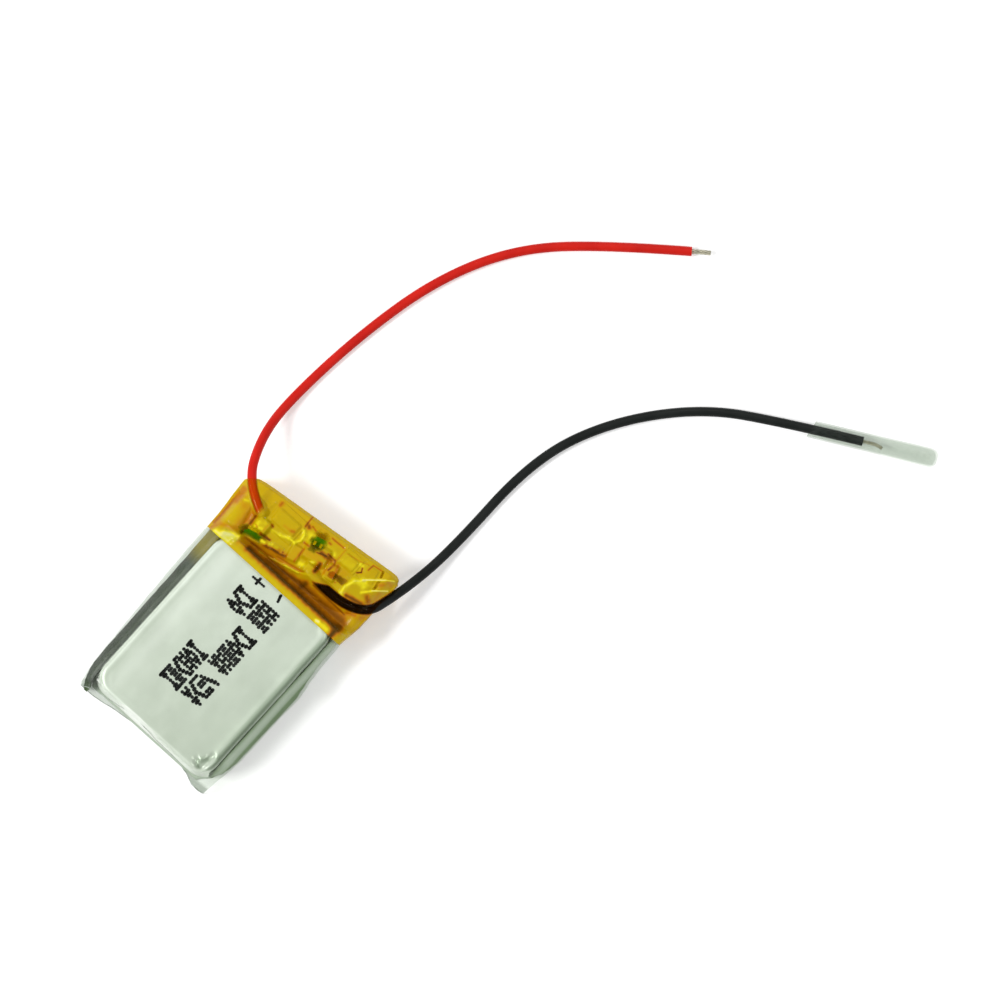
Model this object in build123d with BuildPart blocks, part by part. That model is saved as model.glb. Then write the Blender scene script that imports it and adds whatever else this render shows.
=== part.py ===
from build123d import *
import math
import os

# A single-cell lithium polymer pack with its protection board taped to one end.
# Millimetres. X is the pack's width, +Y runs to the lead end, +Z is up, and z = 0 is the floor.

# Clear sleeve round the cell
sleeve_half_w = 8.42       # half width at the floor
sleeve_top_half_w = 7.60   # half width of its flat top
sleeve_knee_z = 3.9        # where its sides start to lean in
sleeve_height = 6.36
sleeve_wall = 0.10
sleeve_y0 = -13.7          # open end, standing proud of the cell
sleeve_y1 = 6.55           # end hidden under the tape

# Pouch
laminate = 0.13
pouch_half_w = 7.80
pouch_y0 = -13.1
pouch_y1 = 6.90
back_z = 0.12
cup_z0 = back_z + laminate
cup_z1 = 6.22
cup_draft = 3.0            # degrees
cup_corner_r = 2.4
cup_edge_r = 0.8
terrace_y1 = 10.9
terrace_half_w = 6.8
seal_thick = 0.20
flap_x = 7.93              # inner face of the folded seam
flap_top_z = 3.75

# Flattened roll of electrodes
roll_y0 = -12.2
roll_y1 = 5.15
roll_mid_z = 3.17
roll_half_run = 4.30
roll_core_r = 0.30
roll_pitch = 0.60
half_turns = 7
foil_thick = 0.14
separator_thick = 0.08

# Protection board
board_len = 13.2
board_wid = 3.3
board_thick = 0.8
board_angle = 13.9         # lies crooked on the terrace
board_x = 0.54
board_y = 10.15
board_z = 4.10             # underside
board_top = board_z + board_thick
pad_thick = 0.05
pad_top = board_top + pad_thick

# Tabs
tab_thick = 0.10
tab_z = cup_z0 + seal_thick / 2
tab_top_z = pad_top + tab_thick / 2
positive_tab_x = -3.30
positive_tab_w = 3.0
positive_tab_bend_y = 12.02
positive_tab_end_y = 9.95
negative_tab_x = 3.55
negative_tab_w = 1.9
negative_tab_bend_y = 12.90
negative_tab_end_y = 11.30

# Amber tape
tape_thick = 0.08
tape_half_w = 8.50
tape_y0 = 5.47
tape_height = 6.46

# Leads
lead_d = 0.90
lead_bore = 0.50
strand_d = 0.46
tinned_d = 0.54              # bare end, swollen a little by its tin
tip_gap = 0.05               # between the insulation's end and the tin
red_tip_lean = 2.0
red_bare = 1.8
black_bare = 1.9
solder_stub = 0.8
lead_floor_z = lead_d / 2
cap_d = 1.80
cap_len = 12.2
cap_bore = 1.06
cap_bore_depth = 10.4
cap_angle = 28.4
cap_z = cap_d / 2
insulation_in_cap = 5.0

os.makedirs("parts", exist_ok=True)


def save(piece, name):
    piece.part.label = name
    export_step(piece.part, "parts/" + name + ".step")


def side_section(inset, top, top_half_w):
    """Cross-section of a wrap round the cell, shrunk by inset."""
    with BuildSketch(Plane.XZ) as section:
        with BuildLine():
            Polyline(
                (-sleeve_half_w, 0),
                (sleeve_half_w, 0),
                (sleeve_half_w, sleeve_knee_z),
                (top_half_w, top),
                (-top_half_w, top),
                (-sleeve_half_w, sleeve_knee_z),
                close=True,
            )
        make_face()
        corners = section.vertices()
        fillet(corners.filter_by(lambda v: v.Z > 5), 0.8)
        fillet(section.vertices().filter_by(lambda v: abs(v.Z - sleeve_knee_z) < 0.01), 1.2)
        fillet(section.vertices().filter_by(lambda v: v.Z < 0.01), 0.2)
        if inset:
            offset(amount=-inset, mode=Mode.REPLACE)
    return section


# ---------------------------------------------------------------- clear sleeve
outer_section = side_section(0, sleeve_height, sleeve_top_half_w)
inner_section = side_section(sleeve_wall, sleeve_height, sleeve_top_half_w)
with BuildPart() as clear_sleeve:
    with BuildSketch(Plane.XZ.offset(-sleeve_y1)):
        add(outer_section.sketch_local)
        add(inner_section.sketch_local, mode=Mode.SUBTRACT)
    extrude(amount=sleeve_y1 - sleeve_y0)
save(clear_sleeve, "clear_sleeve")


# ----------------------------------------------------------------------- pouch
def cup_block(inset, floor_z, corner_r, edge_r):
    """Drafted block of the drawn cup, every wall moved in by inset."""
    with BuildPart() as block:
        with BuildSketch(Plane.XY.offset(floor_z)):
            with Locations((0, (pouch_y0 + pouch_y1) / 2)):
                RectangleRounded(
                    2 * (pouch_half_w - inset), pouch_y1 - pouch_y0 - 2 * inset, corner_r
                )
        extrude(amount=cup_z1 - inset - floor_z, taper=cup_draft)
        fillet(block.faces().sort_by(Axis.Z)[-1].edges(), edge_r)
    return block


cup_outside = cup_block(0, cup_z0, cup_corner_r, cup_edge_r)
cup_inside = cup_block(laminate, cup_z0, cup_corner_r - laminate, cup_edge_r - laminate)
terrace_z = cup_z0 + seal_thick
with BuildPart() as pouch_cup:
    add(cup_outside.part)
    add(cup_inside.part, mode=Mode.SUBTRACT)
    with BuildSketch(Plane.XY.offset(terrace_z)):
        with Locations((0, (pouch_y1 + terrace_y1) / 2 - 0.05)):
            Rectangle(2 * terrace_half_w, terrace_y1 - pouch_y1 + 0.1)
    extrude(amount=laminate)
    with BuildSketch(Plane.XY.offset(cup_z0 - 0.1)):
        with Locations((0, pouch_y1)):
            Rectangle(2 * terrace_half_w - 2.8, 2.0)
    extrude(amount=seal_thick + 0.1, mode=Mode.SUBTRACT)
save(pouch_cup, "pouch_cup")

with BuildPart() as pouch_back:
    with BuildSketch(Plane.XY.offset(back_z)):
        with Locations((0, (pouch_y0 + pouch_y1) / 2)):
            RectangleRounded(2 * pouch_half_w + 0.3, pouch_y1 - pouch_y0, 0.5)
        with Locations((0, (pouch_y1 + terrace_y1) / 2 - 1)):
            Rectangle(2 * terrace_half_w, terrace_y1 - pouch_y1 + 2)
    extrude(amount=laminate)
    for side in (-1, 1):
        with BuildSketch(Plane.XZ.offset(12.4)):
            with BuildLine():
                Polyline(
                    (side * (pouch_half_w - 0.3), back_z),
                    (side * (flap_x + 0.05), back_z),
                    (side * (flap_x + 2 * laminate), back_z + 0.2),
                    (side * (flap_x + 2 * laminate), flap_top_z),
                    (side * flap_x, flap_top_z),
                    (side * flap_x, cup_z0),
                    (side * (pouch_half_w - 0.3), cup_z0),
                    close=True,
                )
            make_face()
        extrude(amount=-18.6)
save(pouch_back, "pouch_back")

with BuildPart() as terrace_seal:
    with BuildSketch(Plane.XY.offset(cup_z0)):
        with Locations((0, (6.5 + terrace_y1) / 2)):
            Rectangle(2 * terrace_half_w - 2.9, terrace_y1 - 6.5)
    extrude(amount=seal_thick)
    with BuildSketch(Plane.XY.offset(tab_z - tab_thick / 2)):
        with Locations((positive_tab_x, 9)):
            Rectangle(positive_tab_w, 8)
        with Locations((negative_tab_x, 9)):
            Rectangle(negative_tab_w, 8)
    extrude(amount=tab_thick, mode=Mode.SUBTRACT)
save(terrace_seal, "terrace_seal")


# ------------------------------------------------------------- electrode roll
def spiral_layer(first_r, thickness):
    """One flattened spiral, half turns joined by straight runs, as a thin solid."""
    radii = [first_r + k * roll_pitch / 2 for k in range(half_turns)]
    shift = roll_pitch / 2
    with BuildPart() as layer:
        with BuildSketch(Plane.XZ.offset(-roll_y1)):
            with BuildLine():
                ends = {}
                for face in (-1, 1):
                    start = None
                    for k, mid_r in enumerate(radii):
                        r = mid_r + face * thickness / 2
                        right = k % 2 == 0
                        cx = roll_half_run if right else -roll_half_run
                        cz = roll_mid_z if right else roll_mid_z + shift
                        entry = (cx, cz + r) if right else (cx, cz - r)
                        leave = (cx, cz - r) if right else (cx, cz + r)
                        bulge = (cx + r, cz) if right else (cx - r, cz)
                        if start is None:
                            start = (-roll_half_run + 1.0, entry[1])
                            ends[(face, 0)] = start
                            Line(start, entry)
                        else:
                            Line(previous, entry)
                        ThreePointArc(entry, bulge, leave)
                        previous = leave
                    tail = (roll_half_run - 2.0, previous[1])
                    if len(radii) % 2:
                        tail = (-roll_half_run + 2.0, previous[1])
                    Line(previous, tail)
                    ends[(face, 1)] = tail
                Line(ends[(-1, 0)], ends[(1, 0)])
                Line(ends[(-1, 1)], ends[(1, 1)])
            make_face()
        extrude(amount=roll_y1 - roll_y0)
    return layer


step = roll_pitch / 4
cathode_foil = spiral_layer(roll_core_r, foil_thick)
anode_foil = spiral_layer(roll_core_r + 2 * step, foil_thick)
separator_a = spiral_layer(roll_core_r + step, separator_thick)
separator_b = spiral_layer(roll_core_r + 3 * step, separator_thick)
save(cathode_foil, "cathode_foil")
save(anode_foil, "anode_foil")
with BuildPart() as separator_films:
    add(separator_a.part)
    add(separator_b.part)
save(separator_films, "separator_films")

roll_outer_r = roll_core_r + 3 * step + (half_turns - 1) * roll_pitch / 2 + separator_thick / 2
with BuildPart() as winding_tape:
    with BuildSketch(Plane.XY.offset(roll_mid_z - roll_outer_r - 0.07)):
        with Locations((-roll_half_run + 2.0, (roll_y0 + roll_y1) / 2)):
            Rectangle(3.0, 12.0)
    extrude(amount=0.06)
save(winding_tape, "winding_tape")


# ------------------------------------------------------------------------ tabs
def tab_strip(x, width, bend_y, end_y):
    """Strip from the roll's end, through the seal, up past the board and back over it."""
    half = tab_thick / 2
    inner_y = roll_y1 + 0.15
    centre = [
        (inner_y, 3.2),
        (inner_y, tab_z),
        (bend_y, tab_z),
        (bend_y, tab_top_z),
        (end_y, tab_top_z),
    ]
    with BuildPart() as strip:
        with BuildSketch(Plane.YZ.offset(x - width / 2)):
            with BuildLine():
                FilletPolyline(*centre, radius=0.3)
            trace(line_width=tab_thick)
        extrude(amount=width)
    return strip


positive_tab = tab_strip(
    positive_tab_x, positive_tab_w, positive_tab_bend_y, positive_tab_end_y
)
negative_tab = tab_strip(
    negative_tab_x, negative_tab_w, negative_tab_bend_y, negative_tab_end_y
)
save(positive_tab, "positive_tab")
save(negative_tab, "negative_tab")

# ------------------------------------------------------------ under the board
with BuildPart() as terrace_tape:
    with BuildSketch(Plane.XY.offset(terrace_z + laminate + 0.02)):
        with Locations((0, 9.15)):
            Rectangle(13.4, 3.9)
    extrude(amount=0.06)
save(terrace_tape, "terrace_tape")

foam_z0 = terrace_z + laminate + 0.10
foam_z1 = 2.95
with BuildPart() as foam_spacer:
    with BuildSketch(Plane.XY.offset(foam_z0)):
        with Locations((0, 9.15)):
            RectangleRounded(12.6, 3.4, 0.4)
    extrude(amount=foam_z1 - foam_z0)
    fillet(foam_spacer.faces().sort_by(Axis.Z)[-1].edges(), 0.25)
save(foam_spacer, "foam_spacer")

with BuildPart() as board_insulator:
    with BuildSketch(Plane.XY.offset(foam_z1 + 0.03)):
        with Locations((0, 9.2)):
            Rectangle(13.0, 3.6)
    extrude(amount=0.10)
save(board_insulator, "board_insulator")

# ----------------------------------------------------------- protection board
board_dir = (math.cos(math.radians(board_angle)), math.sin(math.radians(board_angle)), 0)
board_under = Plane(origin=(board_x, board_y, board_z), x_dir=board_dir, z_dir=(0, 0, 1))
board_face = Plane(origin=(board_x, board_y, board_top), x_dir=board_dir, z_dir=(0, 0, 1))
pad_face = board_face.offset(pad_thick)

with BuildPart() as circuit_board:
    with BuildSketch(board_under):
        Rectangle(board_len, board_wid)
        with Locations((-board_len / 2, -0.6), (board_len / 2, 0.5)):
            Circle(0.35, mode=Mode.SUBTRACT)
        with Locations((-2.15, -1.25), (3.1, -1.3), (5.85, -1.2)):
            Circle(0.15, mode=Mode.SUBTRACT)
    extrude(amount=board_thick)
save(circuit_board, "circuit_board")

# Lands: positive lead, cell positive, cell negative, negative lead, test land
pads = [
    (-5.70, 0.10, 1.4, 1.7),
    (-3.65, 1.13, 2.3, 0.9),
    (3.30, 0.75, 2.1, 1.3),
    (0.55, -1.37, 1.6, 0.5),
    (5.75, 0.75, 1.1, 1.3),
]
with BuildPart() as board_pads:
    with BuildSketch(board_face):
        for px, py, pw, ph in pads:
            with Locations((px, py)):
                Rectangle(pw, ph)
    extrude(amount=pad_thick)
save(board_pads, "board_pads")


def leaded_chip(face, cx, cy, body_l, body_w, body_h, span, pin_w, pitch, pins, down):
    """Small outline package: moulded body and its gull-wing pins, each side of the body."""
    sign = -1 if down else 1
    with BuildPart() as body:
        with BuildSketch(face.offset(sign * 0.06)):
            with Locations((cx, cy)):
                Rectangle(body_l, body_w)
        extrude(amount=sign * body_h)
        top = body.faces().sort_by(Axis.Z)[0 if down else -1]
        chamfer(top.edges(), 0.12)
    foot = (span - body_w) / 2
    with BuildPart() as legs:
        for row in (-1, 1):
            for k in range(pins):
                px = cx + (k - (pins - 1) / 2) * pitch
                with BuildSketch(face):
                    with Locations((px, cy + row * (body_w / 2 + foot * 0.66))):
                        Rectangle(pin_w, foot * 0.68)
                extrude(amount=sign * 0.12)
                with BuildSketch(face.offset(sign * 0.10)):
                    with Locations((px, cy + row * (body_w / 2 + foot * 0.25))):
                        Rectangle(pin_w, foot * 0.5)
                extrude(amount=sign * body_h * 0.5)
    return body, legs


protection_chip, protection_chip_pins = leaded_chip(
    board_face, 0.45, 0.15, 2.0, 1.25, 0.75, 2.1, 0.25, 0.65, 3, False
)
save(protection_chip, "protection_chip")
save(protection_chip_pins, "protection_chip_pins")

mosfet_chip, mosfet_chip_pins = leaded_chip(
    board_under, 2.60, 0.0, 2.9, 1.6, 0.80, 2.8, 0.40, 0.95, 3, True
)
save(mosfet_chip, "mosfet_chip")
save(mosfet_chip_pins, "mosfet_chip_pins")

with BuildPart() as chip_resistors:
    with BuildSketch(board_face):
        for px, py in ((-4.35, -1.15), (-3.05, -1.15), (4.55, -0.75)):
            with Locations((px, py)):
                Rectangle(1.0, 0.5)
    extrude(amount=0.35)
save(chip_resistors, "chip_resistors")

with BuildPart() as chip_capacitors:
    with BuildSketch(board_face):
        for px, py in ((-1.40, -0.75), (2.45, -0.75)):
            with Locations((px, py)):
                Rectangle(0.8, 1.2)
    extrude(amount=0.6)
save(chip_capacitors, "chip_capacitors")


def solder_dome(x, y, z, length, width, height):
    """Low rounded mound of solder."""
    with BuildPart() as mound:
        with BuildSketch(Plane.XY.offset(z)):
            with Locations((x, y)):
                if length > width:
                    SlotOverall(length, width)
                else:
                    Circle(width / 2)
        extrude(amount=height)
        fillet(mound.faces().sort_by(Axis.Z)[-1].edges(), 0.85 * min(height, width / 2))
    return mound


tab_face_z = pad_top + tab_thick
tab_dome_a = solder_dome(-3.3, 10.65, tab_face_z, 2.5, 1.2, 0.45)
tab_dome_b = solder_dome(3.55, 11.85, tab_face_z, 1.5, 1.0, 0.40)
with BuildPart() as tab_solder:
    add(tab_dome_a.part)
    add(tab_dome_b.part)
save(tab_solder, "tab_solder")


# ----------------------------------------------------------------------- leads
def unit(vector):
    return vector / vector.length


def bend_radii(points):
    """0.45 of the shorter run over the tangent of half the turn, at each inner point."""
    radii = []
    for before, here, after in zip(points, points[1:], points[2:]):
        run_in = Vector(*here) - Vector(*before)
        run_out = Vector(*after) - Vector(*here)
        turn = math.radians(run_in.get_angle(run_out))
        radii.append(0.45 * min(run_in.length, run_out.length) / math.tan(turn / 2))
    return radii


def tube(points, radii, outside, bore=0):
    """Round or hollow tube along straight runs joined by tangent arcs."""
    start = Plane(origin=points[0], z_dir=Vector(*points[1]) - Vector(*points[0]))
    with BuildPart() as swept:
        with BuildLine() as route:
            FilletPolyline(*points, radius=radii)
        with BuildSketch(start):
            Circle(outside / 2)
            if bore:
                Circle(bore / 2, mode=Mode.SUBTRACT)
        sweep(path=route.wires()[0])
    return swept


def conductor(points, radii, bare, lean):
    """Strand bundle along the lead's route: a soldered stub at its start, a tinned end past it.

    The tinned end leans sideways by some degrees.
    """
    first, second = Vector(*points[0]), Vector(*points[1])
    last, before = Vector(*points[-1]), Vector(*points[-2])
    head = first - unit(second - first) * solder_stub
    run = unit(last - before)
    tip_dir = run.rotate(Axis.Z, lean)
    strand_end = last + run * 2 * tip_gap
    strand = tube([tuple(head)] + list(points[1:-1]) + [tuple(strand_end)], radii, strand_d)
    with BuildPart() as whole:
        add(strand.part)
        with BuildSketch(Plane(origin=last + run * tip_gap, z_dir=tip_dir)):
            Circle(tinned_d / 2)
        extrude(amount=bare - tip_gap)
        chamfer(whole.faces().sort_by(Axis(last, tip_dir))[-1].edges(), 0.06)
    return whole


cap_dir = Vector(math.cos(math.radians(cap_angle)), math.sin(math.radians(cap_angle)), 0)
cap_mouth = Vector(27.60, 50.40, cap_z)
black_end = cap_mouth + cap_dir * insulation_in_cap

red_route = [
    (-5.20, 9.30, 5.45),
    (-8.20, 11.40, 5.30),
    (-10.30, 14.90, 2.80),
    (-10.85, 19.20, lead_floor_z),
    (-10.00, 28.50, lead_floor_z),
    (-8.10, 37.30, lead_floor_z),
    (-4.40, 44.60, lead_floor_z),
    (1.60, 50.40, lead_floor_z),
    (7.99, 55.34, lead_floor_z),
]
black_route = [
    (1.60, 8.80, 5.42),
    (7.60, 8.60, 5.10),
    (9.30, 13.50, 2.60),
    (10.00, 19.20, lead_floor_z),
    (10.00, 30.50, lead_floor_z),
    (12.90, 38.00, lead_floor_z),
    (18.60, 45.00, lead_floor_z),
    (25.50, 49.26, cap_z),
    tuple(black_end),
]
red_radii = bend_radii(red_route)
black_radii = bend_radii(black_route)
print("red lead bend radii", [round(r, 2) for r in red_radii])
print("black lead bend radii", [round(r, 2) for r in black_radii])

red_lead_insulation = tube(red_route, red_radii, lead_d, lead_bore)
black_lead_insulation = tube(black_route, black_radii, lead_d, lead_bore)
red_lead_conductor = conductor(red_route, red_radii, red_bare, red_tip_lean)
black_lead_conductor = conductor(black_route, black_radii, black_bare, 0)
save(red_lead_insulation, "red_lead_insulation")
save(black_lead_insulation, "black_lead_insulation")
save(red_lead_conductor, "red_lead_conductor")
save(black_lead_conductor, "black_lead_conductor")

lead_dome_a = solder_dome(-4.75, 8.98, pad_top, 1.1, 1.1, 0.82)
lead_dome_b = solder_dome(1.20, 8.82, pad_top, 0.9, 0.9, 0.82)
with BuildPart() as lead_solder:
    add(lead_dome_a.part)
    add(lead_dome_b.part)
save(lead_solder, "lead_solder")

# Cap pushed over the black lead, closed at its far end
cap_plane = Plane(origin=cap_mouth, z_dir=cap_dir)
with BuildPart() as end_cap:
    with BuildSketch(cap_plane):
        Circle(cap_d / 2)
    extrude(amount=cap_len)
    far_face = end_cap.faces().sort_by(Axis(cap_mouth, cap_dir))[-1]
    fillet(far_face.edges(), 0.7)
    with BuildSketch(cap_plane):
        Circle(cap_bore / 2)
    extrude(amount=cap_bore_depth, mode=Mode.SUBTRACT)
save(end_cap, "end_cap")


# ------------------------------------------------------------------ outer tape
def tape_block(inset, open_y):
    """Solid envelope of the taped end, every face moved in by inset."""
    with BuildPart() as block:
        with BuildSketch(Plane.YZ.offset(-12)):
            with BuildLine():
                Polyline(
                    (open_y, inset),
                    (open_y, tape_height - inset),
                    (6.55, tape_height - inset),
                    (7.45, 5.75 - inset),
                    (8.25, 6.10 - inset),
                    (11.90, 6.10 - inset),
                    (13.70, 5.40 - inset),
                    (13.70, inset),
                    close=True,
                )
            make_face()
        extrude(amount=24)
        with BuildSketch(Plane.XY.offset(-1)):
            with BuildLine():
                Polyline(
                    (-tape_half_w + inset, open_y),
                    (tape_half_w - inset, open_y),
                    (tape_half_w - inset, 12.95 - inset * 0.5),
                    (7.95 - inset * 0.5, 13.70 - inset),
                    (-7.50 + inset * 0.3, 12.03 - inset),
                    (-tape_half_w + inset, 11.30 - inset * 0.5),
                    close=True,
                )
            make_face()
        extrude(amount=9, mode=Mode.INTERSECT)
        with BuildSketch(Plane.XZ.offset(-15)):
            with BuildLine():
                Polyline(
                    (-tape_half_w + inset, -1),
                    (tape_half_w - inset, -1),
                    (tape_half_w - inset, sleeve_knee_z + 0.10),
                    (sleeve_top_half_w + 0.14 - inset, tape_height - inset),
                    (-sleeve_top_half_w - 0.14 + inset, tape_height - inset),
                    (-tape_half_w + inset, sleeve_knee_z + 0.10),
                    close=True,
                )
            make_face()
        extrude(amount=12, mode=Mode.INTERSECT)
    return block


tape_outside = tape_block(0, tape_y0)
tape_inside = tape_block(tape_thick, tape_y0 - 0.5)
red_channel = tube(red_route[:4], red_radii[:2], lead_d + 0.12)
black_channel = tube(black_route[:4], black_radii[:2], lead_d + 0.12)
with BuildPart() as outer_tape:
    add(tape_outside.part)
    add(tape_inside.part, mode=Mode.SUBTRACT)
    with BuildSketch(Plane.XY.offset(-0.5)):
        with Locations((0, 5.6)):
            Rectangle(18, 2.3)
    extrude(amount=0.72, mode=Mode.SUBTRACT)
    add(red_channel.part, mode=Mode.SUBTRACT)
    add(black_channel.part, mode=Mode.SUBTRACT)
save(outer_tape, "outer_tape")
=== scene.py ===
"""Looks of a small single-cell lithium polymer pack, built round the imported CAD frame.

Lengths are millimetres in the row frame (X width, +Y lead end, Z up), and every mesh is scaled
to metres when it is made. The camera, the lights and the leads' routes are in metres.
"""

import math

import bmesh
import bpy
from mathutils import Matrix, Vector, noise


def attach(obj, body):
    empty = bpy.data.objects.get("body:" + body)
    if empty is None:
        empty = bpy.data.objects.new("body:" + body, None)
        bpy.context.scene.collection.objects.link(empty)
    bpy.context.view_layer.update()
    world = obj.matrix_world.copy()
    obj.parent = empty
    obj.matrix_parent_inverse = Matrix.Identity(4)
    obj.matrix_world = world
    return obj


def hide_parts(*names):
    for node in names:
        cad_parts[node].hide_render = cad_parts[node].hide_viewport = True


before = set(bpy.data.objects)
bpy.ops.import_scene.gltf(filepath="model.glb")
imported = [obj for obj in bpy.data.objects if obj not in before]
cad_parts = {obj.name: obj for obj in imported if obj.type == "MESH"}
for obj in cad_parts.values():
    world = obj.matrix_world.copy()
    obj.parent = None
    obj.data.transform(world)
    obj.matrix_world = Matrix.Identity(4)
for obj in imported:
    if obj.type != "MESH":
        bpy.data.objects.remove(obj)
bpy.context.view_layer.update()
MM = 0.001
WELD = 1e-7  # metres, points closer than this are one
UP = Vector((0, 0, 1))


# ---------- small maths
def lerp(a, b, t):
    return a + (b - a) * t


def unit(t):
    """t kept within 0 to 1."""
    return min(1.0, max(0.0, t))


def smooth(t):
    t = unit(t)
    return t * t * (3 - 2 * t)


def bell(x, centre, width):
    return math.exp(-((x - centre) / width) ** 2)


def table(x, pairs, ease=smooth):
    """Value at x from given (x, value) pairs, eased from each pair to the next."""
    if x <= pairs[0][0]:
        return pairs[0][1]
    for (x0, v0), (x1, v1) in zip(pairs, pairs[1:]):
        if x <= x1:
            return lerp(v0, v1, ease((x - x0) / (x1 - x0)))
    return pairs[-1][1]


def wobble(x, y, z, wave, seed):
    """Smooth noise of about +-1 with features of that wavelength."""
    return noise.noise(Vector((x / wave + seed, y / wave - seed, z / wave + 3.7 * seed)))


def nearest(x, y, x0, y0, x1, y1):
    """The place on a segment nearest to (x, y), from 0 to 1, and how far away it is."""
    dx, dy = x1 - x0, y1 - y0
    t = unit(((x - x0) * dx + (y - y0) * dy) / (dx * dx + dy * dy))
    return t, math.hypot(x - x0 - t * dx, y - y0 - t * dy)


def ridges(x, y, rows):
    """Summed height of soft creases along segments, which fade past both ends."""
    return sum(height * math.exp(-(nearest(x, y, *segment)[1] / width) ** 2 / 2)
               for *segment, width, height in rows)


# ---------- materials
MATERIALS = {}
PATCH_RANGE = (0.3, 0.7)  # where most of a noise texture's values lie


def new_material(name):
    MATERIALS[name] = bpy.data.materials.new(name)
    MATERIALS[name].use_nodes = True
    tree = MATERIALS[name].node_tree
    return tree, tree.nodes["Principled BSDF"]


def fill(node, inputs):
    """Fill in a node's inputs: an output socket is linked, anything else is the value."""
    for key, value in inputs.items():
        if isinstance(value, bpy.types.NodeSocket):
            node.id_data.links.new(value, node.inputs[key])
        else:
            node.inputs[key].default_value = value


def wire(tree, kind, output, inputs, **settings):
    """Add a shader node, fill it in and return one of its outputs."""
    node = tree.nodes.new("ShaderNode" + kind)
    for key, value in settings.items():
        setattr(node, key, value)
    fill(node, inputs)
    return node.outputs[output]


def attribute(tree, name):
    return wire(tree, "Attribute", "Fac", {}, attribute_name=name)


def noise_node(tree, size_mm, detail=3.0, stretch=(1, 1, 1)):
    own = wire(tree, "TexCoord", "Object", {})
    mapped = wire(tree, "Mapping", "Vector", {"Vector": own, "Scale": stretch})
    return wire(tree, "TexNoise", "Fac", {
        "Vector": mapped, "Scale": 1 / MM / size_mm, "Detail": detail, "Roughness": 0.55})


def ramp(tree, factor, stops):
    node = tree.nodes.new("ShaderNodeValToRGB")
    fill(node, {"Fac": factor})
    elements = node.color_ramp.elements
    for element, (position, colour) in zip(elements, (stops[0], stops[-1])):
        element.position = position
        element.color = (*colour, 1)
    for position, colour in stops[1:-1]:
        elements.new(position).color = (*colour, 1)
    return node.outputs["Color"]


def span(tree, factor, low, high, source=PATCH_RANGE):
    """A factor stretched from its source range to one from low to high."""
    return wire(tree, "MapRange", "Result", {
        "Value": factor, "From Min": source[0], "From Max": source[1],
        "To Min": low, "To Max": high})


def bump(tree, height, depth_mm):
    return wire(tree, "Bump", "Normal", {"Height": height, "Distance": depth_mm * MM})


def opaque(tree, shader, colour, rough, rough_mm, grain, metal=0.0, specular=0.5, coat=0.0,
           stretch=(1, 1, 1)):
    """Fill in a plain shader with its colour, patchy roughness and a grain (size, depth)."""
    height = noise_node(tree, grain[0], detail=2.0, stretch=stretch)
    fill(shader, {
        "Base Color": colour, "Roughness": span(tree, noise_node(tree, rough_mm), *rough),
        "Metallic": metal, "Specular IOR Level": specular, "Coat Weight": coat,
        "Normal": bump(tree, height, grain[1])})


def surface(name, dark, light, patch_mm, rough, grain=(0.2, 0.01), stretch=(1, 1, 1), **more):
    """A two-tone material with patchy colour."""
    tree, shader = new_material(name)
    patches = noise_node(tree, patch_mm, stretch=stretch)
    colour = ramp(tree, patches, list(zip(PATCH_RANGE, (dark, light))))
    opaque(tree, shader, colour, rough, patch_mm * 0.6, grain, stretch=stretch, **more)


def laminate(name, stops, rough, grain, amber=None, **more):
    """Aluminium laminate whose depth of colour, with painted shade and painted highlights, is set
    by a float attribute on the mesh.

    With an amber colour, the mesh's "amber" attribute says how much of that is mixed in.
    """
    tree, shader = new_material(name)
    mottle = span(tree, noise_node(tree, 1.3, stretch=(1, 0.4, 1)), -0.02, 0.02)
    # the attribute holds painted shade and highlights as well as the laminate's own tone
    tone = wire(tree, "Math", "Value", {0: attribute(tree, "tone"), 1: mottle}, operation="ADD")
    colour = ramp(tree, tone, stops)
    if amber:
        colour = wire(tree, "Mix", "Result", {
            "Factor": attribute(tree, "amber"), "A": colour, "B": (*amber, 1)},
            data_type="RGBA")
    opaque(tree, shader, colour, rough, 2.5, grain, **more)


def edge_gloss(tree, face_on, grazing):
    """A gloss share that is small face on and grows towards grazing, the same from both sides."""
    facing = wire(tree, "LayerWeight", "Facing", {"Blend": 0.5})
    power = wire(tree, "Math", "Value", {0: facing, 1: 4.0}, operation="POWER")
    return span(tree, power, face_on, grazing, source=(0, 1))


def mix_shaders(tree, share, under, over):
    return wire(tree, "MixShader", "Shader", {"Fac": share, 1: under, 2: over})


def see_through(name, palette, cover, gloss, gloss_rough, grain, patches=None):
    """Clear film or soft plastic: tinted see-through, some body colour, and gloss on top.

    The palette is rows of place, tint and body colour. The mesh's "layers" attribute picks a
    place in it, and its "haze" attribute says how much of the body shows, within the cover.
    With patches (two sizes) noise does both, and there is only the first row's tint.
    """
    tree, body = new_material(name)
    if patches:
        depth = noise_node(tree, patches[0])
        share = span(tree, noise_node(tree, patches[1]), *cover)
        tint = (*palette[0][1], 1)
    else:
        depth = attribute(tree, "layers")
        share = span(tree, attribute(tree, "haze"), *cover, source=(0, 1))
        tint = ramp(tree, depth, [(row[0], row[1]) for row in palette])
    normal = bump(tree, noise_node(tree, grain[0]), grain[1])
    fill(body, {"Base Color": ramp(tree, depth, [(row[0], row[2]) for row in palette]),
                "Roughness": 0.38, "Specular IOR Level": 0.15, "Normal": normal})
    clear = wire(tree, "BsdfTransparent", "BSDF", {"Color": tint})
    shine = wire(tree, "BsdfGlossy", "BSDF", {"Roughness": gloss_rough, "Normal": normal})
    milky = mix_shaders(tree, share, clear, body.outputs["BSDF"])
    fill(tree.nodes["Material Output"],
         {"Surface": mix_shaders(tree, edge_gloss(tree, *gloss), milky, shine)})


# The dark ends of these ramps give the painted shade, and the pale ends give the painted
# highlights.
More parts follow.
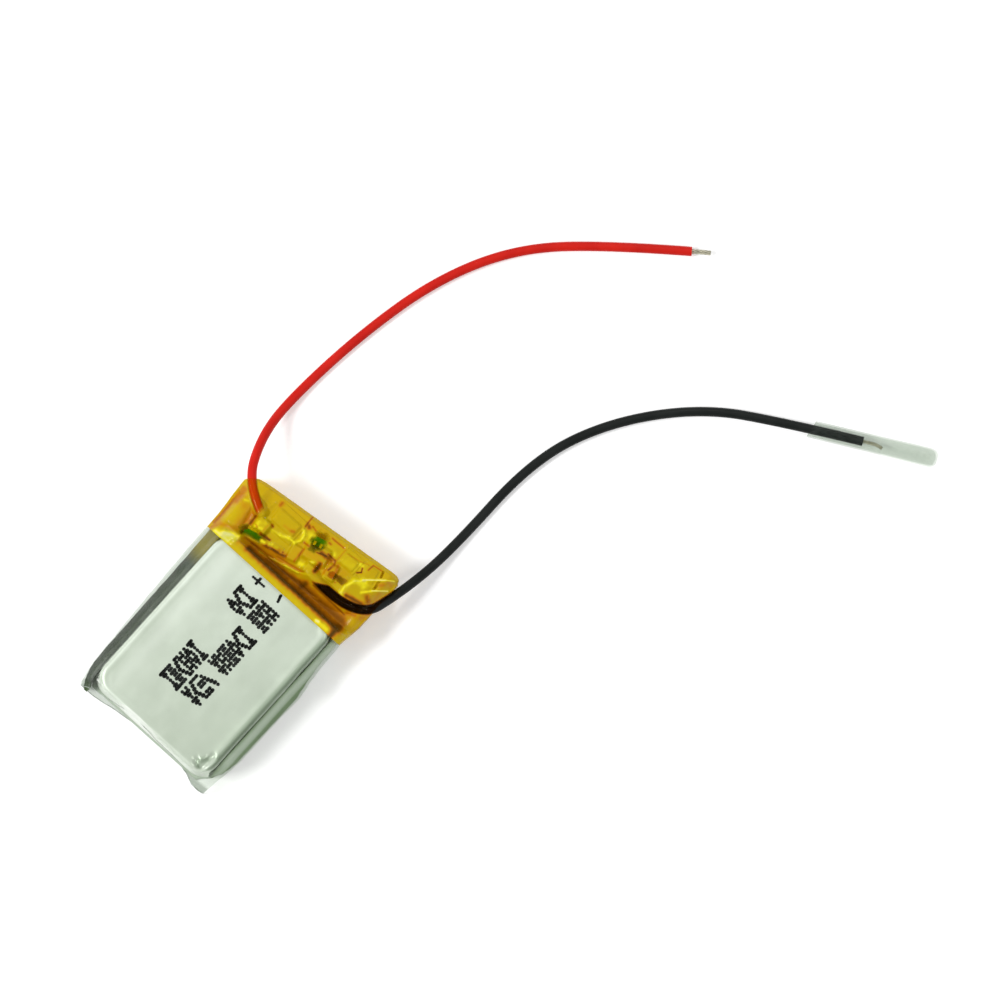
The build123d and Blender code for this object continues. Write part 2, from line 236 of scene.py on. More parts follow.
laminate("laminate", [
    (0.0, (0.050, 0.072, 0.042)), (0.35, (0.19, 0.24, 0.17)), (0.7, (0.45, 0.52, 0.42)),
    (0.85, (0.620, 0.672, 0.585)), (1.0, (0.83, 0.87, 0.80))],
    (0.30, 0.42), (0.12, 0.004), metal=0.3)
laminate("laminate_seam", [
    (0.0, (0.010, 0.018, 0.006)), (0.4, (0.05, 0.085, 0.032)), (0.7, (0.20, 0.29, 0.15)),
    (1.0, (0.56, 0.63, 0.54))],
    (0.40, 0.55), (0.3, 0.012), amber=(0.30, 0.24, 0.006), specular=0.2)

# name, dark and light colour, size of the patches, roughness, grain
surface("seal_film", (0.72, 0.72, 0.66), (0.82, 0.82, 0.77), 1.5, (0.3, 0.4))
surface("cathode_coating", (0.02, 0.02, 0.022), (0.05, 0.05, 0.055), 1.0, (0.6, 0.8),
        (0.06, 0.01))
surface("anode_coating", (0.05, 0.035, 0.03), (0.12, 0.07, 0.05), 1.0, (0.5, 0.7),
        (0.06, 0.01))
surface("separator_film", (0.80, 0.80, 0.78), (0.90, 0.90, 0.88), 2.0, (0.45, 0.6))
surface("green_tape", (0.02, 0.22, 0.12), (0.04, 0.34, 0.20), 1.6, (0.2, 0.35))
surface("aluminium_tab", (0.66, 0.66, 0.66), (0.84, 0.84, 0.84), 0.8, (0.22, 0.40),
        (0.1, 0.01), stretch=(1, 0.12, 1), metal=1.0)
surface("nickel_tab", (0.58, 0.56, 0.51), (0.76, 0.74, 0.68), 0.8, (0.22, 0.42),
        (0.1, 0.01), stretch=(1, 0.12, 1), metal=1.0)
surface("foam_pad", (0.03, 0.02, 0.012), (0.07, 0.05, 0.03), 0.5, (0.8, 0.95), (0.12, 0.05))
surface("fibre_paper", (0.50, 0.40, 0.22), (0.62, 0.52, 0.32), 0.8, (0.7, 0.9), (0.08, 0.01))
surface("solder_mask", (0.003, 0.13, 0.035), (0.008, 0.23, 0.07), 0.9, (0.2, 0.35),
        (0.3, 0.01), coat=0.3)
surface("tinned_land", (0.62, 0.61, 0.58), (0.86, 0.85, 0.82), 0.5, (0.15, 0.35),
        (0.25, 0.03), metal=1.0)
surface("moulded_epoxy", (0.012, 0.012, 0.013), (0.03, 0.03, 0.032), 0.5, (0.4, 0.6),
        (0.05, 0.01))
surface("resistor_glaze", (0.012, 0.012, 0.014), (0.03, 0.03, 0.035), 0.4, (0.3, 0.5),
        (0.08, 0.01))
surface("capacitor_ceramic", (0.30, 0.19, 0.11), (0.44, 0.29, 0.17), 0.5, (0.4, 0.6),
        (0.08, 0.01))
surface("solder", (0.60, 0.59, 0.57), (0.88, 0.87, 0.85), 0.4, (0.10, 0.30), (0.3, 0.05),
        metal=1.0)
surface("printed_ink", (0.003, 0.003, 0.004), (0.009, 0.009, 0.009), 0.4, (0.6, 0.8),
        (0.05, 0.004), specular=0.10)
surface("red_insulation", (0.46, 0.006, 0.002), (0.56, 0.011, 0.004), 3.0, (0.46, 0.58),
        (0.35, 0.012), specular=0.14)
surface("black_insulation", (0.004, 0.006, 0.005), (0.010, 0.012, 0.011), 3.0, (0.42, 0.55),
        (0.35, 0.012), specular=0.13)
surface("bare_strands", (0.28, 0.27, 0.20), (0.58, 0.55, 0.42), 0.5, (0.35, 0.55),
        (0.15, 0.02), metal=0.6)
surface("film_edge", (0.30, 0.34, 0.30), (0.52, 0.56, 0.52), 0.8, (0.2, 0.35), (0.1, 0.004))

# The cream end of this palette makes the painted highlights; its brown end makes the leads under
# the film and the painted shade.
see_through("amber_film", [
    (0.00, (0.97, 0.95, 0.62), (0.86, 0.81, 0.34)),
    (0.12, (0.98, 0.95, 0.20), (0.86, 0.76, 0.010)),
    (0.30, (0.975, 0.90, 0.10), (0.61, 0.455, 0.001)),
    (0.45, (0.955, 0.84, 0.06), (0.61, 0.36, 0.001)),
    (0.60, (0.93, 0.72, 0.03), (0.56, 0.21, 0.001)),
    (0.75, (0.86, 0.58, 0.02), (0.32, 0.115, 0.001)),
    (0.88, (0.76, 0.50, 0.02), (0.15, 0.060, 0.0005)),
    (1.00, (0.66, 0.50, 0.02), (0.055, 0.032, 0.0004))],
    (0.01, 0.75), gloss=(0.004, 0.11), gloss_rough=0.07, grain=(1.0, 0.012))
see_through("clear_film", [
    (0.0, (0.950, 0.962, 0.946), (0.50, 0.56, 0.50)),
    (0.5, (0.915, 0.930, 0.910), (0.58, 0.64, 0.58)),
    (1.0, (0.850, 0.868, 0.845), (0.60, 0.66, 0.60))],
    (0.002, 0.020), gloss=(0.004, 0.020), gloss_rough=0.10, grain=(1.5, 0.015))
see_through("cap_silicone", [
    (0.3, (0.885, 0.903, 0.880), (0.30, 0.36, 0.33)), (0.7, None, (0.40, 0.46, 0.42))],
    (0.0, 0.03), gloss=(0.004, 0.08), gloss_rough=0.30, grain=(0.5, 0.01), patches=(1.5, 0.35))


# ---------- mesh helpers
def add_object(name, data):
    obj = bpy.data.objects.new(name, data)
    bpy.context.scene.collection.objects.link(obj)
    return obj


def make_object(name, points, faces, material, smooth_shade=True):
    mesh = bpy.data.meshes.new(name)
    mesh.from_pydata([(x * MM, y * MM, z * MM) for x, y, z in points], [], faces)
    mesh.validate()
    work = bmesh.new()
    work.from_mesh(mesh)
    bmesh.ops.remove_doubles(work, verts=work.verts, dist=WELD)
    bmesh.ops.recalc_face_normals(work, faces=work.faces)
    work.to_mesh(mesh)
    work.free()
    mesh.materials.append(MATERIALS[material])
    for polygon in mesh.polygons:
        polygon.use_smooth = smooth_shade
    return add_object(name, mesh)


def evaluated_mesh(obj):
    graph = bpy.context.evaluated_depsgraph_get()
    return bpy.data.meshes.new_from_object(obj.evaluated_get(graph))


def thicken(obj, wall_mm, offset=-1.0):
    """Give a skin its wall, inwards at offset -1 and to both sides at 0."""
    solid = obj.modifiers.new("wall", "SOLIDIFY")
    solid.thickness = wall_mm * MM
    solid.offset = offset
    solid.use_even_offset = False
    mesh = evaluated_mesh(obj)
    obj.modifiers.clear()
    obj.data = mesh


def lattice(rows, wrap=False):
    """Quads between rows of points; wrap joins the last column to the first."""
    points = [p for row in rows for p in row]
    width = len(rows[0])
    columns = width if wrap else width - 1
    faces = []
    for i in range(len(rows) - 1):
        for j in range(columns):
            k = (j + 1) % width
            faces.append((i * width + j, i * width + k, (i + 1) * width + k, (i + 1) * width + j))
    return points, faces


def closed_tube(rows):
    """A lattice wrapped round, with a face across its first and its last row."""
    points, faces = lattice(rows, wrap=True)
    sides = len(rows[0])
    faces.append(tuple(range(sides)))
    faces.append(tuple(range(len(points) - 1, len(points) - sides - 1, -1)))
    return points, faces


def join(points, faces, more_points, more_faces):
    """Add points, and the faces between them, to those there are."""
    start = len(points)
    points += more_points
    faces += [tuple(start + v for v in face) for face in more_faces]


def circle(centre, side, up, radius, sides):
    turns = [2 * math.pi * k / sides for k in range(sides)]
    return [tuple(centre + (side * math.cos(a) + up * math.sin(a)) * radius) for a in turns]


def paint(obj, name, value):
    """Store value(x, y, z), in millimetres, as a float on every point of a mesh."""
    layer = obj.data.attributes.new(name, "FLOAT", "POINT")
    for i, vertex in enumerate(obj.data.vertices):
        layer.data[i].value = value(*(vertex.co / MM))


def sheet(name, skin, material, wall_mm, offset=-1.0, **painted):
    """A film or foil made from its skin, with its painted attributes."""
    obj = make_object(name, *skin, material)
    thicken(obj, wall_mm, offset)
    for attribute_name, value in painted.items():
        paint(obj, attribute_name, value)
    return obj


def place(obj, body, slot, *replaced):
    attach(obj, body)
    if replaced:
        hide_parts(*replaced)
    return obj


# ---------- camera, light (in metres)
VIEW_AZ = math.radians(42.0)
VIEW_EL = math.radians(88.5)
VIEW_WIDTH = 0.0943
VIEW_CENTRE = Vector((0.01025, 0.02576, 0.001))
VIEW_DISTANCE = 0.75
SENSOR = 36.0
FLOOR_HALF = 2.0
FLOOR_DROP = 0.00002  # keeps the floor just clear of what rests on it

back = Vector((math.sin(VIEW_AZ) * math.cos(VIEW_EL), -math.cos(VIEW_AZ) * math.cos(VIEW_EL),
               math.sin(VIEW_EL)))
camera_data = bpy.data.cameras.new("camera")
camera_data.sensor_width = SENSOR
camera_data.lens = SENSOR * VIEW_DISTANCE / VIEW_WIDTH
camera_data.clip_start = 0.01
camera_data.clip_end = 5.0
camera = add_object("camera", camera_data)
camera.location = VIEW_CENTRE + back * VIEW_DISTANCE
camera.rotation_euler = back.to_track_quat("Z", "Y").to_euler()
bpy.context.scene.camera = camera


def area_light(name, location, size, power, size_y=None):
    """An area light that looks at the origin."""
    data = bpy.data.lights.new(name, "AREA")
    data.energy = power
    data.size = size
    if size_y:
        data.shape = "RECTANGLE"
        data.size_y = size_y
    obj = add_object(name, data)
    obj.location = location
    obj.rotation_euler = Vector(location).to_track_quat("Z", "Y").to_euler()


world = bpy.data.worlds.new("studio")
world.use_nodes = True
fill(world.node_tree.nodes["Background"], {"Color": (1.0, 1.0, 1.0, 1), "Strength": 0.48})
bpy.context.scene.world = world
bpy.context.scene.view_settings.view_transform = "Standard"
area_light("key", (-0.32, -0.29, 0.50), 0.20, 2.90)
area_light("glint", (-0.20, 0.34, 0.44), 0.08, 0.70)
area_light("strip", (0.24, 0.12, 0.42), 0.04, 0.45, size_y=0.25)

floor_mesh = bpy.data.meshes.new("floor")
floor_mesh.from_pydata([(x * FLOOR_HALF, y * FLOOR_HALF, 0)
                        for x, y in ((-1, -1), (1, -1), (1, 1), (-1, 1))], [], [(0, 1, 2, 3)])
floor = add_object("floor", floor_mesh)
floor.location.z = -FLOOR_DROP
floor_shader = new_material("floor")[1]
fill(floor_shader, {
    "Base Color": (0.88, 0.88, 0.88, 1), "Roughness": 0.9, "Specular IOR Level": 0.0,
    "Emission Color": (1, 1, 1, 1), "Emission Strength": 0.22})
floor_mesh.materials.append(MATERIALS["floor"])

# ---------- leads, on one spline each (in metres)
LEAD_D = 0.90
FLOOR_Z = 0.00045
CAP_Z = 0.00090
RED_ROUTE = [
    (-0.00550, 0.00980, 0.00545),
    (-0.00835, 0.01105, 0.00530),
    (-0.01030, 0.01490, 0.00280),
    (-0.01085, 0.01920, FLOOR_Z),
    (-0.01000, 0.02850, FLOOR_Z),
    (-0.00810, 0.03730, FLOOR_Z),
    (-0.00440, 0.04460, FLOOR_Z),
    (0.00160, 0.05040, FLOOR_Z),
    (0.00799, 0.05534, FLOOR_Z),
]
BLACK_ROUTE = [
    (0.00160, 0.00870, 0.00542),
    (0.00775, 0.00795, 0.00510),
    (0.00930, 0.01350, 0.00260),
    (0.01000, 0.01920, FLOOR_Z),
    (0.01000, 0.03050, FLOOR_Z),
    (0.01290, 0.03800, FLOOR_Z),
    (0.01860, 0.04500, FLOOR_Z),
    (0.02550, 0.04926, CAP_Z),
    (0.031998, 0.052778, CAP_Z),
]


def route_curve(name, route, width_mm):
    """One smooth NURBS spline with the route's points as its control points."""
    data = bpy.data.curves.new(name, "CURVE")
    data.dimensions = "3D"
    spline = data.splines.new("NURBS")
    spline.points.add(len(route) - 1)
    for point, (x, y, z) in zip(spline.points, route):
        point.co = (x, y, z, 1)
    spline.order_u = 3
    spline.use_endpoint_u = True
    spline.resolution_u = 16
    data.bevel_depth = width_mm / 2 * MM
    data.bevel_resolution = 6
    data.use_fill_caps = True
    return add_object(name, data)


def centreline(route):
    """Points along the route's spline, in millimetres."""
    probe = route_curve("probe", route, 0.0)
    mesh = evaluated_mesh(probe)
    line = [v.co / MM for v in mesh.vertices]
    bpy.data.objects.remove(probe)
    bpy.data.meshes.remove(mesh)
    return line


red_line = centreline(RED_ROUTE)
black_line = centreline(BLACK_ROUTE)

red_lead = route_curve("red_lead", RED_ROUTE, LEAD_D)
red_lead.data.materials.append(MATERIALS["red_insulation"])
place(red_lead, "pack", "red_silicone", "red_lead_insulation")
black_lead = route_curve("black_lead", BLACK_ROUTE, LEAD_D)
black_lead.data.materials.append(MATERIALS["black_insulation"])
place(black_lead, "pack", "black_silicone", "black_lead_insulation")

# ---------- bare strands
STRANDS = 6  # wires twisted round a seventh
TWIST = 2.4  # length of one turn
WIRE_SIDES = 6
TIP_STEPS = 21
BEND_FROM = 0.55  # share of the bare end that is straight
INSIDE = 0.25  # how far the bare end starts within the insulation
STUB_LEN = 0.8
STUB_STEPS = 9
STUB_BUNDLE = 0.46


def bundle(line, across):
    """Fine wires twisted round a line, the last one along its centre."""
    wire_r = across / 6
    points, faces = [], []
    for k in range(STRANDS + 1):
        helix_r = 0.0 if k == STRANDS else across / 2 - wire_r
        travelled = 0.0
        rows = []
        for i, p in enumerate(line):
            ahead = (line[min(i + 1, len(line) - 1)] - line[max(i - 1, 0)]).normalized()
            side = ahead.cross(UP).normalized()
            up = side.cross(ahead)
            if i:
                travelled += (p - line[i - 1]).length
            turn = 2 * math.pi * (k / STRANDS + travelled / TWIST)
            centre = p + (side * math.cos(turn) + up * math.sin(turn)) * helix_r
            rows.append(circle(centre, side, up, wire_r, WIRE_SIDES))
        join(points, faces, *closed_tube(rows))
    return points, faces


def tip_line(line, bare, bend):
    """Straight on from a lead's end, with a small bend near the tip."""
    ahead = (line[-1] - line[-3]).normalized()
    side = ahead.cross(UP).normalized()
    return [line[-1] + ahead * (bare * t - INSIDE * (1 - t))
            + side * (max(0.0, t - BEND_FROM) ** 2 * bend)
            for t in (i / TIP_STEPS for i in range(TIP_STEPS + 1))]


def stub_line(line):
    """The soldered stub in front of a lead's start, reaching a little way into it."""
    ahead = (line[1] - line[0]).normalized()
    return [line[0] - ahead * (STUB_LEN - STUB_LEN * 1.3 * i / STUB_STEPS)
            for i in range(STUB_STEPS + 1)]


def both_ends(name, line, bare, bend, across):
    points, faces = bundle(tip_line(line, bare, bend), across)
    join(points, faces, *bundle(stub_line(line), STUB_BUNDLE))
    return make_object(name, points, faces, "bare_strands")


red_strands = both_ends("red_lead_strands", red_line, 1.8, 0.15, 0.46)
place(red_strands, "pack", "tin", "red_lead_conductor")
black_strands = both_ends("black_lead_strands", black_line, 1.9, 1.2, 0.34)
place(black_strands, "pack", "tin", "black_lead_conductor")

# ---------- end cap
CAP_ANGLE = math.radians(28.4)
CAP_DIR = Vector((math.cos(CAP_ANGLE), math.sin(CAP_ANGLE), 0))
CAP_MOUTH = Vector((27.60, 50.40, 0.90))
CAP_LEN = 12.2
CAP_BARREL = CAP_LEN * 0.94  # where the rounded tip starts
CAP_TIP = 0.73
CAP_WALL = 0.14
CAP_RADIUS = [(0, 0.84), (6, 0.86), (11, 0.90)]
CAP_INNER_TIP = [(11.72, 0.70), (11.92, 0.56), (12.04, 0.02)]
CAP_SIDES = 40


def cap_mesh():
    """Hollow soft cap: slanted mouth, slightly wider and flatter towards its closed tip."""
    across = CAP_DIR.cross(UP).normalized()
    barrel = [CAP_BARREL * i / 16 for i in range(17)]
    outline = [(s, table(s, CAP_RADIUS)) for s in barrel]
    inner = [(s, r - CAP_WALL) for s, r in outline] + CAP_INNER_TIP
    for i in range(1, 8):
        a = math.radians(90) * i / 8
        outline.append((CAP_BARREL + CAP_TIP * math.sin(a) ** 1.2, 0.90 * math.cos(a) ** 0.55))
    outline.append((CAP_BARREL + CAP_TIP, 0.02))
    rows = []
    for s, r in inner[::-1] + outline:
        flat = lerp(1.0, 0.86, smooth(s / CAP_LEN))
        row = []
        for k in range(CAP_SIDES):
            a = 2 * math.pi * k / CAP_SIDES
            slant = -0.28 * math.cos(a) * (1 - smooth(s / 1.5))
            lump = 1 + 0.012 * wobble(s, 2 * math.cos(a), 2 * math.sin(a), 1.6, 4.0)
            row.append(tuple(CAP_MOUTH + CAP_DIR * (s + slant)
                             + (across * math.cos(a) + UP * math.sin(a) * flat) * r * lump))
        rows.append(row)
    return closed_tube(rows)


end_cap = make_object("insulating_cap", *cap_mesh(), "cap_silicone")
place(end_cap, "cap", "cap_silicone", "end_cap")

# ---------- pouch, drawn cup
CUP_HALF_W = 7.65
CUP_HALF_L = 9.875
CUP_MID_X = 0.20
CUP_MID_Y = -2.975
CUP_CORNER = 2.2
CUP_MAX_Z = 6.25
CUP_WALL = 0.12
CUP_STEP = 0.24  # between the points of a ring
COUNT_X = int(2 * (CUP_HALF_W - CUP_CORNER) / CUP_STEP)
COUNT_Y = int(2 * (CUP_HALF_L - CUP_CORNER) / CUP_STEP)
COUNT_CORNER = int(CUP_CORNER * math.pi / 2 / CUP_STEP) + 2
END_STEEPER = 0.75  # the end walls lean in less than the side walls
TERRACE_HALF_W = 6.8
TERRACE_END_Y = 10.9
LEDGE_Y, LEDGE_Z = 6.95, 0.58
LEAN_X, LEAN_Y = 0.20, 0.05  # the top of the cell seen from the camera against the base
CUP_PROFILE = [  # distance in from the base outline, height
    (0.00, 0.27), (0.08, 1.2), (0.17, 2.1), (0.27, 3.0), (0.37, 3.8), (0.47, 4.5),
    (0.54, 5.05), (0.58, 5.40), (0.61, 5.66), (0.65, 5.87), (0.70, 6.00), (0.77, 6.10),
    (0.87, 6.17), (1.00, 6.21), (1.18, 6.225), (1.35, 6.215), (1.52, 6.19), (1.68, 6.16),
    (1.85, 6.145), (2.10, 6.14), (2.45, 6.15), (2.9, 6.16), (3.4, 6.17), (4.0, 6.17),
    (4.6, 6.17), (5.2, 6.175), (5.8, 6.175), (6.4, 6.175), (7.0, 6.175), (7.4, 6.175),
]
DENTS = [  # crumple in one corner: x0, y0, x1, y1, half width, height
    (6.40, -10.2, 6.35, -12.0, 0.17, -0.36), (6.85, -10.6, 6.75, -11.9, 0.14, 0.10),
    (5.55, -11.5, 6.45, -12.2, 0.20, -0.26), (5.75, -11.1, 6.15, -10.7, 0.16, 0.07),
]
# Painted shade in the crumpled corner's folds (negative changes) and a painted highlight on its
# facet (positive).
DENT_SHADING = [  # x0, y0, x1, y1, half width, sharpness, change of tone
    (5.55, -11.45, 6.0, -10.75, 0.22, 2, -0.30), (5.65, -11.75, 6.05, -11.95, 0.16, 2, -0.40),
    (6.60, -10.4, 6.50, -11.6, 0.24, 4, 0.25),
]


def rounded_ring(half_w, half_l, corner):
    """Evenly spaced points round a rounded rectangle, the same number for every size."""
    corner = max(0.02, min(corner, half_w - 0.01, half_l - 0.01))
    fx, fy = half_w - corner, half_l - corner
    sides = [
        ((fx, -half_l), (-fx, -half_l), COUNT_X, (-fx, -fy), 270),
        ((-half_w, -fy), (-half_w, fy), COUNT_Y, (-fx, fy), 180),
        ((-fx, half_l), (fx, half_l), COUNT_X, (fx, fy), 90),
        ((half_w, fy), (half_w, -fy), COUNT_Y, (fx, -fy), 0),
    ]
    ring = []
    for (ax, ay), (bx, by), count, (cx, cy), angle in sides:
        ring += [(lerp(ax, bx, i / count), CUP_MID_Y + lerp(ay, by, i / count))
                 for i in range(count)]
        for i in range(COUNT_CORNER):
            a = math.radians(angle - 90 * i / COUNT_CORNER)
            ring.append((cx + corner * math.cos(a), CUP_MID_Y + cy + corner * math.sin(a)))
    return ring


def cup_mesh():
    rows = []
    for inset, z in CUP_PROFILE:
        top = smooth(z - 5.0)
        row = []
        for x, y in rounded_ring(CUP_HALF_W - inset, CUP_HALF_L - inset * END_STEEPER,
                                 CUP_CORNER - inset * 0.55):
            lift = 0.012 * wobble(x, y, 0, 5.0, 1.0) * top * smooth(inset / 1.3)
            lift += 0.003 * wobble(x, y, 0, 1.6, 2.0) * top
            lift += ridges(x + CUP_MID_X, y, DENTS) * top
            side = 0.04 * wobble(x, y, z, 2.6, 5.0) * (1 - top) * smooth(z)
            out = 1 - side / max(4.0, math.hypot(x, y - CUP_MID_Y))
            row.append((CUP_MID_X + x * out, CUP_MID_Y + (y - CUP_MID_Y) * out,
                        min(z + lift, CUP_MAX_Z)))
        rows.append(row)
    points, faces = lattice(rows, wrap=True)
    faces.append(tuple(range(len(points) - len(rows[0]), len(points))))
    join(points, faces, *lattice([
        [(lerp(-TERRACE_HALF_W, TERRACE_HALF_W, j / 30), lerp(LEDGE_Y, TERRACE_END_Y, i / 8),
          LEDGE_Z) for j in range(31)] for i in range(9)]))
    return points, faces


def cup_tone(x, y, z):
    """Pale over the face and end walls, with painted shade down the long walls and painted
    highlights and shade over the face.
    """
    x, y = x - LEAN_X, y - LEAN_Y
    # painted reflection: the face a little lighter towards the top left
    face = 0.900 + 0.004 * y - 0.005 * x
    # painted highlight and shade beside the recessed outline, a painted highlight on the left
    # shoulder, painted shade along the right edge and shoulder, and a painted highlight on the
    # bottom bevel
    face += 0.05 * bell(x, -5.1, 0.6) - 0.05 * bell(x, -6.25, 0.22)
    face += 0.08 * bell(x, -6.72, 0.12)
    face -= 0.03 * bell(x, 6.1, 0.30) * smooth((1.0 - y) / 3)
    face -= 0.50 * smooth((x - 6.25) / 0.65)
    face += 0.13 * bell(y, -12.2, 0.14) * smooth((6.6 - abs(x)) / 0.8)
    # painted shade in the crumpled corner's folds and a painted highlight on its facet
    for *segment, width, power, change in DENT_SHADING:
        face += change * math.exp(-(nearest(x, y, *segment)[1] / width) ** power)
    # painted shade down the long walls, deeper on the left one
    wall = lerp(0.90, 0.06 if x < 0 else 0.40, smooth((y + 11.7) / 0.9))
    return lerp(wall, face, smooth((z - 5.5) / 0.4))


cup = sheet("pouch_shell", cup_mesh(), "laminate", CUP_WALL, tone=cup_tone)
place(cup, "pack", "laminate", "pouch_cup")

# ---------- pouch back with folded side seams
SEAM_END_Y = 6.2
SEAM_STEPS = 150
FLAP_STEPS = 8
BACK_HALF_W = 7.72
BACK_Z = 0.19
BACK_START_Y = -13.05
SEAM_WALL = 0.06
SEAMS = {  # side: where along the cell its fold, its cut edge and its height are
    -1: ([(-13.75, 6.95), (-13.4, 7.22), (-12.9, 7.50), (-12.4, 7.68), (-11.8, 7.84),
          (-11.0, 7.96), (-9.0, 8.04), (0.0, 8.10), (6.2, 8.20)],
         [(-13.75, 6.62), (-13.3, 6.55), (-12.7, 6.72), (-12.1, 6.86), (6.2, 6.88)],
         [(-13.75, 0.9), (-13.0, 2.4), (-12.0, 4.2), (-11.0, 5.0), (6.2, 5.1)]),
    1: ([(-12.25, 6.75), (-12.1, 7.15), (-11.8, 7.50), (-11.4, 7.80), (-10.8, 8.10),
         (-10.0, 8.28), (-9.2, 8.40), (-1.0, 8.50), (0.0, 8.34), (1.0, 8.16),
         (3.0, 7.98), (6.2, 7.88)],
        [(-12.25, 6.40), (-12.0, 6.75), (-11.6, 7.15), (-11.0, 7.33), (6.2, 7.34)],
        [(-12.25, 2.2), (-11.9, 3.6), (-11.2, 4.8), (-10.0, 5.1), (6.2, 5.1)]),
}


def flap(y, side):
    """Section of a folded seam from its root up to its cut edge, as (x, z) outward positive."""
    out, edge, top = (table(y, pairs) for pairs in SEAMS[side])
    edge += 0.03 * wobble(y, side * 4, 0, 0.35, 7.0) + 0.04 * wobble(y, side, 0, 1.6, 8.0)
    if side < 0:
        knee, knee_x = 0.66, lerp(out, edge, 0.62)
    else:
        knee, knee_x = 0.60, min(7.76, lerp(edge, out, 0.6))
    out += 0.03 * wobble(y, side * 2, 0, 0.8, 9.0)
    edge = min(edge, out - 0.05)
    root = min(7.75, out - 0.1)
    steps = [k / FLAP_STEPS for k in range(1, FLAP_STEPS + 1)]
    line = [(root, 0.20), (lerp(root, out, 0.55), 0.24), (out - 0.03, 0.42), (out, 0.80)]
    line += [(lerp(out, knee_x, t ** 1.25), lerp(0.80, top * knee, t)) for t in steps]
    line += [(lerp(knee_x, edge, t), lerp(top * knee, top, t ** 0.9)) for t in steps]
    return line


def back_mesh():
    points, faces = [], []
    for side, (out, _, _) in SEAMS.items():
        rows = []
        for i in range(SEAM_STEPS + 1):
            y = lerp(out[0][0], SEAM_END_Y, i / SEAM_STEPS)
            rows.append([(side * x, y, z) for x, z in flap(y, side)])
        join(points, faces, *lattice(rows))
    rows = []
    for i in range(61):
        y = lerp(BACK_START_Y, TERRACE_END_Y, i / 60)
        half = BACK_HALF_W if y < SEAM_END_Y else TERRACE_HALF_W
        half -= 1.1 * smooth((-11.6 - y) / 1.5)
        across = [lerp(-half, half, j / 30) for j in range(31)]
        rows.append([(x, y, BACK_Z + 0.02 * wobble(x, y, 0, 3.0, 10)) for x in across])
    join(points, faces, *lattice(rows))
    return points, faces


def seam_tone(x, y, z):
    """Pale under the cell; up the left fold, painted shade with a lighter line; up the right one,
    pale with a painted highlight streak, painted shade in the gap beside the cell, and darker
    towards its outer edge and its end.
    """
    if abs(x) < 7.3 and z < 0.6 and y > -13.1:
        return 0.92
    if x < 0:
        # painted shade up the left fold, with a lighter line along it
        tone = 0.03 + 0.14 * bell(x, -7.30, 0.12) + 0.03 * smooth((y + 6) / 6)
        return tone + 0.40 * smooth((-12.7 - y) / 0.7) * smooth((x + 7.3) / 0.3)
    # a painted highlight streak up the right fold, and painted shade in the gap beside the cell
    tone = 0.86 + 0.08 * bell(x, 7.85, 0.18)
    tone -= 0.44 * bell(x, 7.33, 0.16)
    return tone - 0.22 * smooth((x - 8.05) / 0.2) - 0.12 * smooth((-9.5 - y) / 1.5)


def seam_amber(x, y, z):
    """The seam takes on the tape's colour where the tape starts."""
    if abs(x) <= 6.7:
        return 0.0
    reach, share = (1.6, 0.75) if x < 0 else (4.6, 0.35)
    return share * smooth((y - reach) / 2.2)


pouch_back = sheet("pouch_back_seams", back_mesh(), "laminate_seam", SEAM_WALL, offset=0.0,
                   tone=seam_tone, amber=seam_amber)
place(pouch_back, "pack", "laminate", "pouch_back")

# ---------- clear sleeve
SLEEVE_LEFT = [(-13.7, 7.50), (-13.2, 7.72), (-12.0, 7.92), (-11.0, 8.06), (-9.0, 8.16),
               (-6.0, 8.30), (-3.0, 8.42), (0.0, 8.52), (3.0, 8.62), (6.6, 8.64)]
SLEEVE_RIGHT = [(-13.7, 8.00), (-12.0, 8.18), (-11.0, 8.36), (-10.0, 8.52), (-9.0, 8.60),
                (-4.0, 8.64), (-1.0, 8.74), (0.0, 8.66), (1.0, 8.46), (3.0, 8.30),
                (6.6, 8.20)]
LOWER_EDGE = [(-7.6, -13.72), (-7.0, -13.78), (-6.0, -13.68), (-5.0, -13.52), (-4.0, -13.33),
              (-3.0, -13.18), (-1.0, -12.98), (1.0, -12.86), (3.0, -12.80), (4.0, -12.84),
              (5.0, -13.02), (5.8, -13.35), (6.5, -13.64), (7.3, -13.74), (8.0, -13.55)]
UPPER_EDGE = [(-7.6, -13.6), (-6.8, -13.3), (-5.8, -13.0), (-4.8, -12.80), (-3.6, -12.58),
              (-2.4, -12.38), (-1.4, -12.34), (0.2, -12.46), (1.6, -12.60), (3.2, -12.64),
              (4.4, -12.70), (5.4, -13.00), (6.4, -13.45), (7.2, -13.62), (8.0, -13.50)]
SLEEVE_START_Y, SLEEVE_END_Y = -13.7, 6.55
SLEEVE_FIRST_Y = -13.66  # nothing of the open end is further out than this
SLEEVE_TOP_Z, SLEEVE_MAX_Z = 6.28, 6.33
SHOULDER_Z = 6.25
SLEEVE_WALL = 0.05
RIM_R, RIM_SIDES = 0.035, 6
STATIONS = 130


